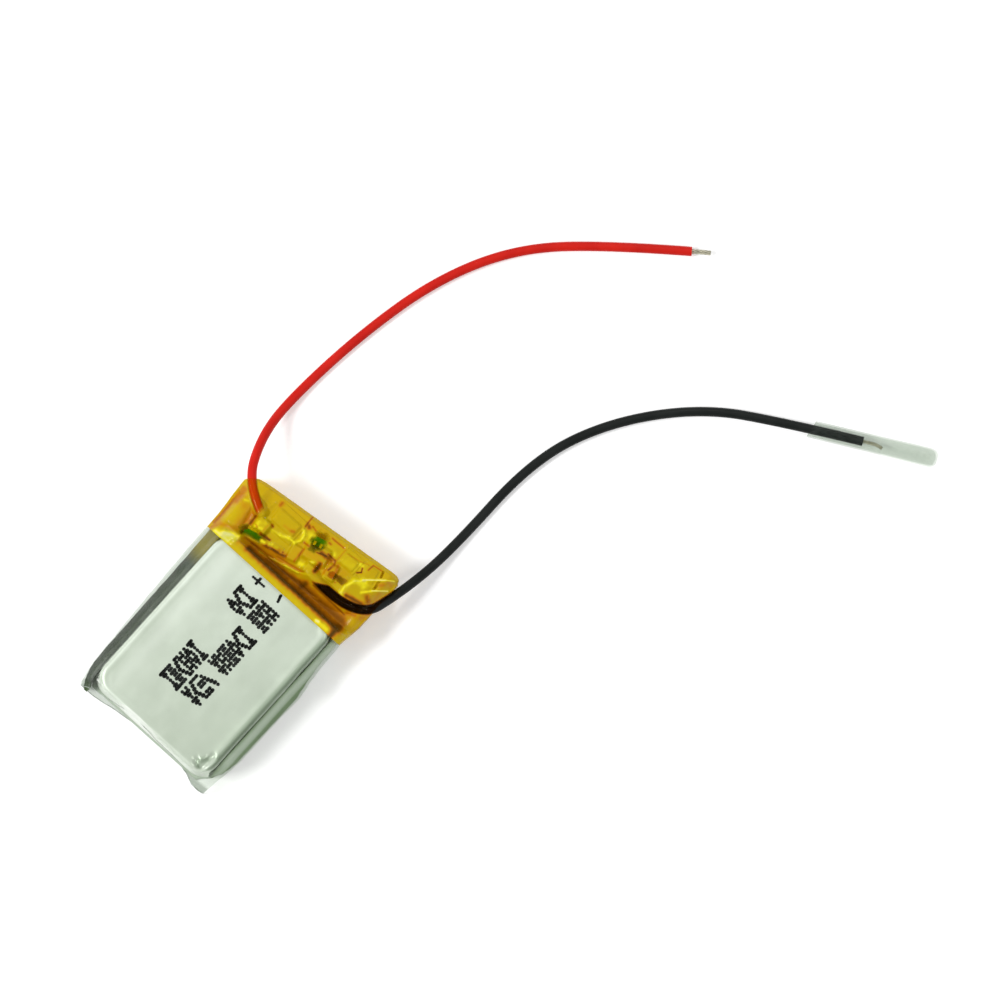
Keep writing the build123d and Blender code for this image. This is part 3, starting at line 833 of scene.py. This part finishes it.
def sleeve_mesh():
    """Ring after ring along the sleeve; the open end is scalloped and pinched at its corners."""
    rows = []
    for i in range(STATIONS + 1):
        t = (i / STATIONS) ** 1.35
        base_y = lerp(SLEEVE_START_Y, SLEEVE_END_Y, t)
        left, right = table(base_y, SLEEVE_LEFT), table(base_y, SLEEVE_RIGHT)
        pinch = 1 - smooth((base_y - SLEEVE_START_Y) / 1.9)
        side_z = lerp(0.95, 0.45, pinch)
        edge_l, edge_r = lerp(-6.80, -6.70, pinch), lerp(7.20, 7.30, pinch)
        outline = []  # x, z, and 0 on the lower sheet to 1 on the upper
        for k in range(24):
            outline.append((lerp(-left + 0.10, right - 0.10, k / 23), 0.04, 0.0))
        for k in range(1, 6):
            outline.append((right, lerp(0.10, side_z, k / 5), 0.1 * k))
        for u in (k / 12 for k in range(1, 13)):
            outline.append((lerp(right, edge_r, u ** 1.15),
                            lerp(side_z, SHOULDER_Z, u ** 0.95), lerp(0.5, 1.0, u)))
        for k in range(1, 61):
            outline.append((lerp(edge_r, edge_l, k / 61), SLEEVE_TOP_Z, 1.0))
        for u in (k / 12 for k in range(13)):
            outline.append((lerp(edge_l, -left, 1 - (1 - u) ** 1.15),
                            lerp(SHOULDER_Z, side_z, 1 - (1 - u) ** 0.95), lerp(1.0, 0.5, u)))
        for k in range(1, 5):
            outline.append((-left, lerp(side_z, 0.10, k / 5), 0.5 - 0.1 * k))
        row = []
        for x, z, upper in outline:
            first = lerp(table(x, LOWER_EDGE), table(x, UPPER_EDGE), upper)
            y = lerp(first, SLEEVE_END_Y, t)
            corner = smooth((abs(x) - 5.2) / 1.2)
            end = 1 - smooth((y - first) / (0.4 + 0.8 * corner))
            if z > 1.2:
                z = lerp(z, min(z, 5.5 - 0.4 * smooth((x - 0.5) / 2) - 3.0 * corner), end)
                z += 0.010 * wobble(x, y, 0, 1.8, 12)
            crease = 0.10 * wobble(x, y, z, 0.8, 14) * end
            side = 0.03 * wobble(y, z, x, 1.1, 15) if abs(x) > 7 else 0.0
            z = max(0.03, min(z + crease, SLEEVE_MAX_Z)) if z > 0.3 else z
            row.append((x + side, max(y, SLEEVE_FIRST_Y), z))
        rows.append(row)
    return rows


def rim_mesh(ring):
    """A thin bead that follows a closed ring of points."""
    rows = []
    for i in range(len(ring) + 1):
        before, here, after = (Vector(ring[k % len(ring)]) for k in (i - 1, i, i + 1))
        ahead = (after - before).normalized()
        side = ahead.cross(Vector((0.1, 1, 0.05))).normalized()
        rows.append(circle(here, side, side.cross(ahead), RIM_R, RIM_SIDES))
    return lattice(rows, wrap=True)


def film_layers(x, y, z):
    """The film looks deeper where its sheets cling together past the cell, and down its sides."""
    tail = smooth((-12.75 - y) / 0.35) * (1.0 if x > 0 else 0.65)
    side = 0.30 * smooth((abs(x) - 8.05) / 0.2)
    return unit(0.04 + 0.05 * wobble(x, y, z, 1.4, 16) + max(tail, side))


def film_haze(x, y, z):
    return unit(0.3 + 0.3 * wobble(x, y, z, 1.1, 17) + 0.5 * (y < -12.9))


sleeve_rows = sleeve_mesh()
sleeve = sheet("clear_sleeve_film", lattice(sleeve_rows, wrap=True), "clear_film",
               SLEEVE_WALL, layers=film_layers, haze=film_haze)
place(sleeve, "pack", "clear_film", "clear_sleeve")
sleeve_rim = make_object("sleeve_cut_edge", *rim_mesh(sleeve_rows[0]), "film_edge")
place(sleeve_rim, "pack", "clear_film")

# ---------- amber tape
TAPE_Y0 = 5.47
TAPE_END = [(-8.80, 11.05), (-8.55, 11.45), (-7.8, 12.02), (-7.0, 12.20), (7.2, 13.84),
            (7.85, 13.88), (8.25, 13.72), (8.5, 13.25)]
TAPE_RIGHT = [(0, 8.14), (0.3, 8.46), (0.9, 8.52), (1, 8.50)]
TAPE_WALL = 0.05
TAPE_MIN_Z, TAPE_MAX_Z = 0.05, 6.50
CELL_Z = 6.43  # the film's height over the cell
DECK_Z = 5.30  # and over the board
DRIFT_X, DRIFT_Y = 0.17, 0.03  # the deck seen from the camera against the base
BOARD_X, BOARD_Y = 0.54, 10.15
BOARD_A = math.radians(13.9)
TROUGH_Y, TROUGH_FLOOR_Y = 6.35, 6.90
LUMPS = [  # in the board's frame: centre, half sizes, top of the film, how far it tents out
    (0.45, 0.15, 1, 0.62, 5.76, 0.5), (-1.4, -0.75, 0.4, 0.6, 5.6, 0.35),
    (2.45, -0.75, 0.4, 0.6, 5.6, 0.35), (-4.35, -1.15, 0.5, 0.25, 5.38, 0.2),
    (-3.05, -1.15, 0.5, 0.25, 5.38, 0.2), (4.55, -0.75, 0.5, 0.25, 5.38, 0.25),
    (5.75, 0.75, 0.55, 0.65, 5.4, 0.18),
]
BULGES = [  # in the pack's frame, otherwise the same
    (-3.3, 10.65, 1.1, 0.5, 5.62, 0.55), (-3.3, 10.6, 1.55, 1.3, 5.42, 0.14),
    (3.55, 11.85, 0.62, 0.4, 5.6, 0.45), (3.55, 12, 1, 0.8, 5.42, 0.14),
    (-4.75, 8.98, 0.45, 0.45, 5.88, 0.5), (1.2, 8.82, 0.35, 0.35, 5.9, 0.45),
    (6.15, 10.15, 0.9, 0.7, 5.62, 0.7),
]
CREASES = [  # x0, y0, x1, y1, half width, height
    (-5, 6.85, -2.4, 7.3, 0.08, 0.1), (-2.4, 7.15, -0.8, 7.5, 0.07, 0.12),
    (-0.8, 7.55, 0.7, 7.92, 0.09, 0.18), (0.7, 7.95, 1.6, 8.45, 0.08, 0.12),
    (-4.5, 7.05, -2, 7.35, 0.06, -0.08), (-1.8, 7.7, 1, 8.25, 0.07, -0.09),
    (5.6, 11.45, 8, 13.4, 0.085, 0.14), (6.9, 11.25, 8.05, 12.25, 0.085, 0.13),
    (5.1, 10.9, 5.7, 11.45, 0.12, 0.12), (4.75, 9.9, 5.1, 10.9, 0.11, 0.13),
    (4.85, 9.2, 4.75, 9.9, 0.11, 0.14), (5.4, 8.95, 4.85, 9.2, 0.1, 0.12),
    (5.4, 8.95, 7, 9.4, 0.09, 0.05), (-1.25, 10.9, -1.6, 11.25, 0.1, 0.11),
    (-1.15, 10.3, -1.25, 10.9, 0.11, 0.14), (-1.45, 9.8, -1.15, 10.3, 0.11, 0.13),
    (-2.1, 9.75, -1.45, 9.8, 0.11, 0.12), (-2.9, 9.4, -2.1, 9.75, 0.12, 0.1),
    (-4, 9.2, -2.9, 9.4, 0.12, 0.07), (2.3, 8.12, 5.9, 8.16, 0.07, 0.08),
    (2.7, 6.95, 3.7, 7.35, 0.12, 0.08), (-5.65, 9.95, -5.3, 11.35, 0.1, 0.08),
    (-5.95, 7.3, -6.55, 9.6, 0.16, -0.16), (-1.6, 12.25, 4.6, 12.95, 0.1, 0.06),
    (2.6, 10.25, 2.55, 12.85, 0.08, 0.07), (4.9, 11.45, 5.15, 12.05, 0.07, -0.09),
    (0.45, 10.6, 2.75, 11.05, 0.08, 0.06), (0.35, 9.3, 1.6, 9.75, 0.1, 0.08),
]


def board_frame(x, y):
    dx, dy = x - BOARD_X, y - BOARD_Y
    return (dx * math.cos(BOARD_A) + dy * math.sin(BOARD_A),
            dy * math.cos(BOARD_A) - dx * math.sin(BOARD_A))


def tented(x, y, deck, boxes):
    """The deck with the film raised over boxes and sloping down round them."""
    for cx, cy, half_x, half_y, top, reach in boxes:
        gap = math.hypot(max(0.0, abs(x - cx) - half_x), max(0.0, abs(y - cy) - half_y))
        deck = max(deck, lerp(top, DECK_Z, smooth(gap / reach)))
    return deck


def board_front(x):
    """The near edge of what the film lies over: the board's edge."""
    return 6.96 + (max(x, -5.47) + 5.47) * 0.2475


RED_UNDER = [p for p in red_line if p.z > 3.0]
BLACK_UNDER = [p for p in black_line if p.z > 3.0]
OVER_R = 0.53  # a lead's radius with the film on it
CREST = 0.40  # how far out the film follows the lead's roundness, before it slopes off


def over_lead(x, y, line):
    """Height of film pulled tight over a lead at a place, and how far that place is from it."""
    best, gap = -9.0, 9.0
    for a, b in zip(line, line[1:]):
        if abs(a.x - x) > 1.8 or abs(a.y - y) > 1.8:
            continue
        t, d = nearest(x, y, a.x, a.y, b.x, b.y)
        gap = min(gap, d)
        if d < 1.3:
            rise = math.sqrt(OVER_R ** 2 - d * d) if d < CREST else 0.348 - (d - CREST) * 1.15
            best = max(best, lerp(a.z, b.z, t) + rise)
    return best, gap


def valley(x, y):
    """0 outside the trough between cell and board, 1 along its bottom."""
    along = smooth((x + 5.9) / 1.8) * (1 - 0.75 * smooth((x - 7.0) / 1.0))
    far = board_front(x) + 0.15
    if y < TROUGH_Y or y > far:
        return 0.0
    if y < TROUGH_FLOOR_Y:
        return along * smooth((y - TROUGH_Y) / (TROUGH_FLOOR_Y - TROUGH_Y))
    return along * (1 - smooth((y - 6.95) / (far - TROUGH_FLOOR_Y)))


def tape_height(x, y):
    deck = tented(*board_frame(x, y), DECK_Z, LUMPS)
    x, y = x - DRIFT_X, y - DRIFT_Y
    deck = tented(x, y, deck, BULGES)
    deck += 0.22 * smooth((-x - 5.9) / 0.9) * (1 - smooth((-x - 7.6) / 1.0))
    z = lerp(CELL_Z, deck, smooth((y - 6.25) / 0.8)) - 0.75 * valley(x, y)
    corner = smooth((-x - 5.0) / 0.7) * (1 - smooth((y - 6.7) / 0.8))
    facet = 6.42 - 0.20 * max(0.0, -x - 5.6) - 0.27 * max(0.0, y - 5.6)
    z = lerp(z, facet, corner) + ridges(x, y, CREASES)
    return z + 0.022 * wobble(x, y, 0, 1.3, 21) + 0.012 * wobble(x, y, 0, 0.45, 22)


# x0, y0, x1, y1, then half width, depth of colour and milkiness in hundredths, laid on in order;
# besides the film's own depth of colour they hold painted highlights and painted shade
STROKES_AND_PAINTED_LIGHT = [(*row[:4], *(value / 100 for value in row[4:])) for row in [
    # left of the board, with a painted shadow down its outer edge and small painted highlights
    (-7.55, 6.8, -7.7, 10, 55, 30, 90), (-6.45, 7.2, -6.6, 9.4, 42, 53, 90),
    (-6.2, 8, -6.25, 9.3, 18, 61, 95), (-7.9, 6.45, -6.6, 6.9, 28, 54, 90),
    (-8.35, 6.2, -8.5, 10.4, 20, 68, 80), (-8.2, 9.9, -7.2, 9.2, 50, 48, 85),
    (-8.3, 10.4, -8.2, 9, 25, 60, 85), (-8.75, 6, -8.9, 11, 12, 30, 70),
    (-7.65, 9.65, -7.3, 9.8, 16, 20, 90), (-6.9, 9.85, -6.6, 9.75, 12, 18, 90),
    # over the tabs and along the far edge
    (-4.8, 11.9, -2.2, 12, 75, 36, 90), (-4.8, 11.75, -4.8, 11.5, 20, 66, 85),
    (-1.4, 12.35, 2.2, 12.6, 20, 41, 85), (-1.2, 12.05, -0.6, 11.9, 10, 70, 80),
    (0.9, 12.45, 2.3, 12.5, 9, 70, 80), (-1.82, 12.7, -1.75, 11.6, 9, 78, 80),
    (-1.5, 11.85, -1.4, 11.75, 20, 82, 80),
    # left blister, its bright rim a painted highlight
    (-4.3, 10.2, -2, 10.6, 70, 33, 85), (-4.2, 8.75, -1.6, 9.2, 25, 33, 85),
    (-3.9, 9.2, -2.9, 9.45, 16, 22, 95), (-2.9, 9.4, -2.1, 9.8, 17, 15, 100),
    (-2.1, 9.75, -1.45, 9.8, 15, 12, 100), (-1.45, 9.8, -1.15, 10.3, 15, 11, 100),
    (-1.15, 10.3, -1.25, 10.9, 17, 10, 100), (-1.25, 10.9, -1.55, 11.2, 16, 11, 100),
    (-3.2, 10.35, -2.6, 10.35, 14, 46, 85), (-4.15, 9.6, -3.95, 9.55, 12, 75, 85),
    (-2.4, 10.4, -2.2, 10.5, 19, 60, 85),
    # joint under the red lead
    (-4.9, 9.6, -4.7, 9.3, 20, 25, 90), (-5.3, 8.9, -5.2, 8.4, 30, 16, 95),
    (-4.85, 8.55, -4.6, 8.6, 22, 12, 100), (-4.4, 9.3, -4.4, 8.6, 7, 48, 90),
    (-5.3, 8.62, -5, 8.5, 6, 62, 90),
    # board showing through at the left
    (-5.85, 9.2, -5.75, 8.2, 17, 80, 50), (-5.7, 7.62, -4.1, 7.98, 54, 32, 0),
    (-4.4, 8.25, -3.4, 8.4, 14, 85, 50), (-3.4, 7.75, -1.3, 8.2, 27, 88, 50),
    (-3.85, 7.85, -3.6, 7.9, 19, 11, 100), (-3.15, 8.1, -2.95, 8.25, 19, 18, 90),
    (-2.6, 8.25, -2.4, 8.35, 17, 26, 80), (-1.78, 8.32, -1.6, 8.45, 20, 45, 90),
    (-1.72, 8.36, -1.66, 8.4, 7, 80, 90),
    # between the joint and the chip, with painted highlights on the chip
    (-0.85, 8.3, -0.8, 10, 35, 40, 90), (-0.32, 8.5, -0.4, 9.9, 12, 70, 85),
    (-0.8, 10.4, 0.5, 10.5, 12, 72, 80), (0.15, 9.9, 0.9, 10.1, 45, 45, 95),
    (0.2, 8.85, 1, 9.2, 40, 32, 95), (0.2, 8.6, 0.5, 8.75, 25, 13, 100),
    (0.9, 9.5, 1.1, 9.6, 14, 8, 100), (1.65, 9.9, 1.75, 9.1, 25, 88, 75),
    (1, 10.75, 2.2, 10.8, 20, 80, 65), (2.05, 10.65, 2.15, 10.4, 22, 57, 95),
    (2.35, 9.8, 2.5, 9.4, 24, 55, 95), (2.6, 9.3, 2.75, 9.2, 12, 26, 90),
    (0.7, 10.5, 1.6, 10.85, 8, 92, 85), (1.6, 11.1, 2.5, 11.1, 10, 92, 85),
    (2.5, 11.1, 2.75, 10.6, 13, 92, 85), (2.7, 10.6, 2.6, 10, 13, 86, 80),
    # bare patch of board and what is beside it
    (-1, 11.4, -0.7, 11.5, 25, 25, 90), (-0.7, 11.3, -0.55, 10.9, 28, 13, 100),
    (1.2, 11.7, 2.3, 11.6, 35, 28, 90), (1.9, 11.5, 2.1, 11.4, 15, 12, 100),
    (0.95, 11.95, 1.15, 11.95, 12, 70, 80), (0.2, 11.05, 0.15, 11.75, 70, 30, 0),
    # right tab
    (3.1, 11.9, 4.7, 12.2, 75, 31, 90), (3.3, 11.6, 4.6, 11.8, 35, 26, 90),
    (4.5, 12.4, 4.7, 12.4, 20, 15, 100), (2.6, 11.2, 2.55, 12.5, 6, 52, 85),
    (2.9, 12.3, 4.3, 12.6, 6, 52, 85), (4.3, 12.6, 5.1, 12.9, 5, 52, 85),
    (4.85, 12.25, 5.05, 11.9, 7, 97, 100), (5.05, 11.9, 4.75, 11.6, 8, 97, 100),
    (5.45, 13.1, 5.4, 12.5, 9, 76, 85), (5.45, 13.15, 6.5, 13.3, 7, 70, 85),
    (3, 10.5, 4, 10.8, 35, 44, 85), (3, 10.9, 3.3, 10.3, 18, 62, 85),
    (3.1, 9.85, 4.5, 10.1, 34, 60, 12), (3, 9.3, 3.6, 9.45, 15, 30, 75),
    (3.75, 9.6, 3.9, 9.5, 21, 32, 75), (3.8, 9.56, 3.86, 9.54, 7, 70, 80),
    # right blister, with painted highlights on its rim and creases
    (5.4, 10.4, 6.6, 10.6, 75, 32, 75), (5.4, 9.35, 7, 9.7, 22, 85, 80),
    (7, 10.5, 7.3, 10.3, 30, 66, 50), (6.55, 13.3, 6.72, 12.8, 12, 30, 0),
    (6.85, 12.4, 7, 11.5, 13, 30, 0), (7.35, 12.4, 7.2, 12.2, 25, 57, 90),
    (7.5, 12.95, 7.9, 12.8, 20, 52, 90), (7.6, 11.6, 7.7, 10.9, 28, 50, 85),
    (5.3, 8.9, 4.85, 9.2, 12, 5, 100), (4.85, 9.2, 4.75, 9.9, 14, 10, 100),
    (4.75, 9.9, 5.1, 10.9, 17, 10, 100), (5.1, 10.9, 5.9, 11.5, 27, 10, 100),
    (5.9, 11.2, 6.1, 11.1, 30, 11, 100), (6.3, 10.5, 6.9, 11.2, 12, 15, 100),
    (5.65, 11.5, 7.2, 12.85, 10, 2, 100), (7.2, 12.85, 7.9, 13.35, 7, 6, 90),
    (6.95, 11.3, 8.05, 12.25, 9, 2, 100),
    # folds along the board's near edge, with painted highlights and painted shade along the
    # creases
    (-5.2, 6.95, -2.5, 7.5, 26, 56, 95), (-2.5, 7.5, 0.8, 8.1, 27, 58, 95),
    (-4.5, 7.05, -2, 7.35, 6, 70, 95), (-1.8, 7.7, 1, 8.25, 7, 68, 95),
    (-2.4, 7.15, -0.8, 7.5, 7, 34, 100), (-0.8, 7.55, 0.7, 7.92, 11, 18, 100),
    (0.9, 8.1, 1.6, 8.45, 10, 28, 100),
    # trough between cell and board, dark with painted shade
    (-4.3, 6.5, 7, 6.45, 36, 93, 90), (-2.4, 6.8, 1.4, 7.3, 30, 80, 90),
    (1.7, 7.3, 6.7, 7.35, 56, 73, 90), (1.7, 7.2, 1.9, 7.6, 25, 86, 90),
    (3, 7.05, 3.7, 7.35, 10, 66, 95), (2.3, 8.15, 5.9, 8.2, 7, 62, 95),
    (2.5, 8, 6.5, 7.9, 10, 80, 90), (6.6, 8.2, 7.3, 8.5, 25, 64, 90),
    (6.9, 5.3, 6.9, 6.6, 35, 93, 90), (-5.4, 6.35, -4.9, 6.6, 30, 52, 90),
    # right side
    (7.85, 5.6, 7.95, 6.8, 28, 31, 95), (7.9, 7.2, 7.9, 8.2, 30, 41, 95),
    (7.85, 8.7, 8.2, 9.6, 35, 55, 95),
    # along the cell's edge, and the turned-up corner, with its painted cream highlight and a
    # painted highlight spot
    (-5.5, 5.72, 6.3, 5.74, 22, 29, 95), (5.3, 5.75, 6.2, 5.75, 20, 15, 100),
    (4.95, 5.72, 5.15, 5.8, 16, 0, 100), (-8.2, 5.6, -8, 6.1, 20, 62, 85),
    (-7.7, 5.66, -6.2, 5.75, 28, 6, 100), (-7, 6, -6.2, 6.4, 34, 3, 100),
    (-6.2, 6.2, -5.75, 6.75, 15, 9, 100), (-5.85, 5.7, -5.7, 6.6, 13, 22, 100),
]]


def stroke_and_light_at(x, y):
    """Depth of colour and milkiness of the film at a place, from the strokes laid over it,
    painted highlights and painted shade among them.
    """
    x, y = x - DRIFT_X, y - DRIFT_Y
    depth = 0.33 + 0.04 * wobble(x, y, 0, 1.5, 25)
    haze = 0.80 + 0.12 * wobble(x, y, 0, 1.1, 26)
    for x0, y0, x1, y1, width, to_depth, to_haze in STROKES_AND_PAINTED_LIGHT:
        if not (min(x0, x1) - 2 * width < x < max(x0, x1) + 2 * width
                and min(y0, y1) - 2 * width < y < max(y0, y1) + 2 * width):
            continue
        rough = 1.06 + 0.40 * wobble(x, y, width * 9, 0.4, 28)
        crisp = 6.0 if to_haze < 0.4 else 2.0  # film pressed on the board has a clear outline
        share = math.exp(-(nearest(x, y, x0, y0, x1, y1)[1] / (width * rough)) ** crisp)
        depth = lerp(depth, to_depth, share)
        haze = lerp(haze, to_haze, share)
    return depth, haze


def tight_on(x, y, line):
    """1 where the film is tight on a lead, 0 off it."""
    return 1 - smooth((over_lead(x, y, line)[1] - 0.36) / 0.20)


def on_red(x, y):
    """1 where the film is tight on the red lead, less by the lead's joint."""
    return tight_on(x, y, RED_UNDER) * smooth((-5.25 - x) / 0.75)


def on_black(x, y):
    """1 where the film is tight on the black lead, little where a milky fold hides it."""
    far_side = lerp(8.15, 9.2, smooth((x - 2.2) / 2.6))
    hidden = smooth((y - far_side) / 0.3) * (1 - smooth((x - 4.4) / 0.8))
    return tight_on(x, y, BLACK_UNDER) * smooth((x - 1.9) / 1.2) * (1 - 0.85 * hidden)


SIDE_Z = 3.8  # the film's sides, below this, are plain
SIDE_LOOK = 0.45


def tape_layers_and_light(x, y, z):
    """How deep the film's colour is, from cream (0) and yellow (0.3) to dark brown (1); cream is
    painted highlight, and the dark browns are the leads under it and painted shade.
    """
    if z < SIDE_Z:
        return SIDE_LOOK
    depth = stroke_and_light_at(x, y)[0] + 0.02 * wobble(x, y, 0, 0.4, 29)
    return unit(lerp(lerp(depth, 0.42, on_red(x, y)), 0.90, on_black(x, y)))


def tape_haze(x, y, z):
    """How milky the film is: more where it stands off, none where it is pressed down, and full
    under most painted highlights.
    """
    if z < SIDE_Z:
        return SIDE_LOOK
    return unit(lerp(lerp(stroke_and_light_at(x, y)[1], 0.04, on_red(x, y)), 0.0, on_black(x, y)))


ROWS, ACROSS, DOWN = 140, 290, 14  # steps along the tape, over its top and down a wall


def tape_top(t):
    """The points over the top, from left to right, at a share t of the way along."""
    top = []
    left, right = 8.44 + 0.34 * smooth(t), table(t, TAPE_RIGHT, ease=unit)
    for j in range(ACROSS + 1):
        x = lerp(-left, right, j / ACROSS)
        y = lerp(TAPE_Y0, table(x, TAPE_END, ease=unit), t)
        shoulder = smooth((abs(x) - 7.0) / 1.5)
        z = tape_height(x, y) - (0.95 if x > 0 else 1.20) * shoulder * shoulder
        z -= 0.40 * smooth((t - 0.94) / 0.06) ** 2
        z = max(z, over_lead(x, y, RED_UNDER)[0], over_lead(x, y, BLACK_UNDER)[0])
        top.append((x, y, min(z, TAPE_MAX_Z)))
    return top


def tape_side(corner, side):
    """The points down a side wall, between its two corners."""
    wall = []
    for s in (k / DOWN for k in range(1, DOWN)):
        x = corner[0] + side * 0.05 * math.sin(math.pi * s)
        x += 0.04 * wobble(corner[0], corner[1], s * 5, 1.2, 23)
        wall.append((x, corner[1], lerp(corner[2], TAPE_MIN_Z, s)))
    return wall


def tape_mesh():
    """Rings round the pack's end, then a wall that closes the slanted far end."""
    rows = []
    for i in range(ROWS + 1):
        top = tape_top(i / ROWS)
        under = [(x, y, TAPE_MIN_Z) for x, y, z in reversed(top)]
        rows.append(top + tape_side(top[-1], 1) + under + tape_side(top[0], -1)[::-1])
    points, faces = lattice(rows, wrap=True)
    width = len(rows[0])
    last = ROWS * width
    grid = [[last + j for j in range(ACROSS + 1)]]
    for k in range(1, DOWN):
        row = [last + width - k]
        for x, y, z in points[last + 1:last + ACROSS]:
            s = k / DOWN
            swell = 0.10 * math.sin(math.pi * s) + 0.03 * wobble(x, s * 5, 0, 0.9, 24)
            points.append((x, y + swell - 0.05, lerp(z, TAPE_MIN_Z, s)))
            row.append(len(points) - 1)
        grid.append(row + [last + ACROSS + k])
    grid.append([last + ACROSS + DOWN + ACROSS - j for j in range(ACROSS + 1)])
    for above, below in zip(grid, grid[1:]):
        for j in range(ACROSS):
            faces.append((above[j], above[j + 1], below[j + 1], below[j]))
    return points, faces


tape = sheet("amber_tape_wrap", tape_mesh(), "amber_film", TAPE_WALL,
             layers=tape_layers_and_light, haze=tape_haze)
place(tape, "pack", "amber_tape", "outer_tape")

# ---------- printed marks, made-up shapes
MARKS = {
    "diamond": ["00100", "01110", "11011", "10001", "11011", "01110", "00100"],
    "glass": ["11111", "01110", "00100", "00100", "00100", "01110", "11111"],
    "zigzag": ["11000", "01100", "00110", "00011", "00110", "01100", "11000"],
    "ladder": ["10001", "11111", "10001", "11111", "10001", "11111", "10001"],
    "weave": ["10101", "01010", "10101", "01010", "10101", "01010", "10101"],
    "peaks": ["00100", "01110", "11011", "00100", "01110", "11011", "10001"],
    "bars": ["11011", "11011", "00000", "11011", "11011", "00000", "11011"],
    "slope": ["10000", "11000", "01100", "00110", "00011", "00001", "00000"],
}
PRINT_BLOCKS = [  # x of the marks' foot, first y, marks
    (-2.59, 3.44, ["glass", "zigzag", "diamond"]),
    (-2.59, -3.49, ["glass", "diamond", "ladder", "zigzag", "weave", "glass"]),
    (-0.09, 3.70, ["ladder", "peaks", "weave"]),
    (-0.09, 0.50, ["glass", "zigzag", "diamond", "weave", "ladder", "peaks"]),
    (-0.02, -4.81, ["slope", "bars", "zigzag", "peaks"]),
]
ROW_PITCH = 0.335
DOT_PITCH = 0.125
MARK_PITCH = 0.755
DOT_R, DOT_SIDES = 0.182, 10
INK_Z = 6.19
SEED_STEP = 0.37


def disc(x, y, radius, seed):
    """A thin domed dot of ink with a slightly uneven outline."""
    rows = []
    for level, scale in ((-0.02, 1.0), (0.008, 0.96)):
        row = []
        for a in (2 * math.pi * k / DOT_SIDES for k in range(DOT_SIDES)):
            uneven = 1 + 0.12 * wobble(math.cos(a), math.sin(a), seed, 0.7, seed)
            r = radius * scale * uneven
            row.append((x + r * math.cos(a), y + r * math.sin(a), INK_Z + level))
        rows.append(row)
    return closed_tube(rows)


def print_dots():
    """Where each dot of the marks, of the plus and of the minus sign is, and its radius."""
    for foot_x, first_y, marks in PRINT_BLOCKS:
        for index, mark in enumerate(marks):
            for r, line in enumerate(MARKS[mark]):
                for c, bit in enumerate(line):
                    if bit == "1":
                        yield (foot_x + (6 - r) * ROW_PITCH + 0.08,
                               first_y - index * MARK_PITCH - c * DOT_PITCH - 0.06, DOT_R)
    for k in range(-3, 4):
        yield -1.55 + k * 0.22, 4.80, 0.13
    for k in (-2, -1, 1, 2):
        yield -1.60, 4.82 + k * 0.15, 0.14
    for k in range(5):
        yield 0.88 + k * 0.045, 5.20 - k * 0.14, 0.15


def print_mesh():
    points, faces = [], []
    seed = 0.0
    for x, y, radius in print_dots():
        seed += SEED_STEP
        x, y = x + LEAN_X, y + LEAN_Y
        jump_x, jump_y = 0.02 * wobble(x, y, seed, 0.4, 31), 0.02 * wobble(y, x, seed, 0.4, 32)
        radius *= 1 + 0.1 * wobble(x, y, 5, 0.3, 33)
        join(points, faces, *disc(x + jump_x, y + jump_y, radius, seed))
    return points, faces


ink = make_object("printed_marks", *print_mesh(), "printed_ink", smooth_shade=False)
place(ink, "pack", "chip_black")

# ---------- materials of the kept CAD nodes
CAD_MATERIALS = {
    "terrace_seal": "seal_film", "cathode_foil": "cathode_coating",
    "anode_foil": "anode_coating", "separator_films": "separator_film",
    "winding_tape": "green_tape", "positive_tab": "aluminium_tab",
    "negative_tab": "nickel_tab", "terrace_tape": "green_tape", "foam_spacer": "foam_pad",
    "board_insulator": "fibre_paper", "circuit_board": "solder_mask",
    "board_pads": "tinned_land", "protection_chip": "moulded_epoxy",
    "protection_chip_pins": "tinned_land", "mosfet_chip": "moulded_epoxy",
    "mosfet_chip_pins": "tinned_land", "chip_resistors": "resistor_glaze",
    "chip_capacitors": "capacitor_ceramic", "tab_solder": "solder", "lead_solder": "solder",
}
for node_name, material_name in CAD_MATERIALS.items():
    for material_slot in bpy.data.objects[node_name].material_slots:
        material_slot.material = MATERIALS[material_name]
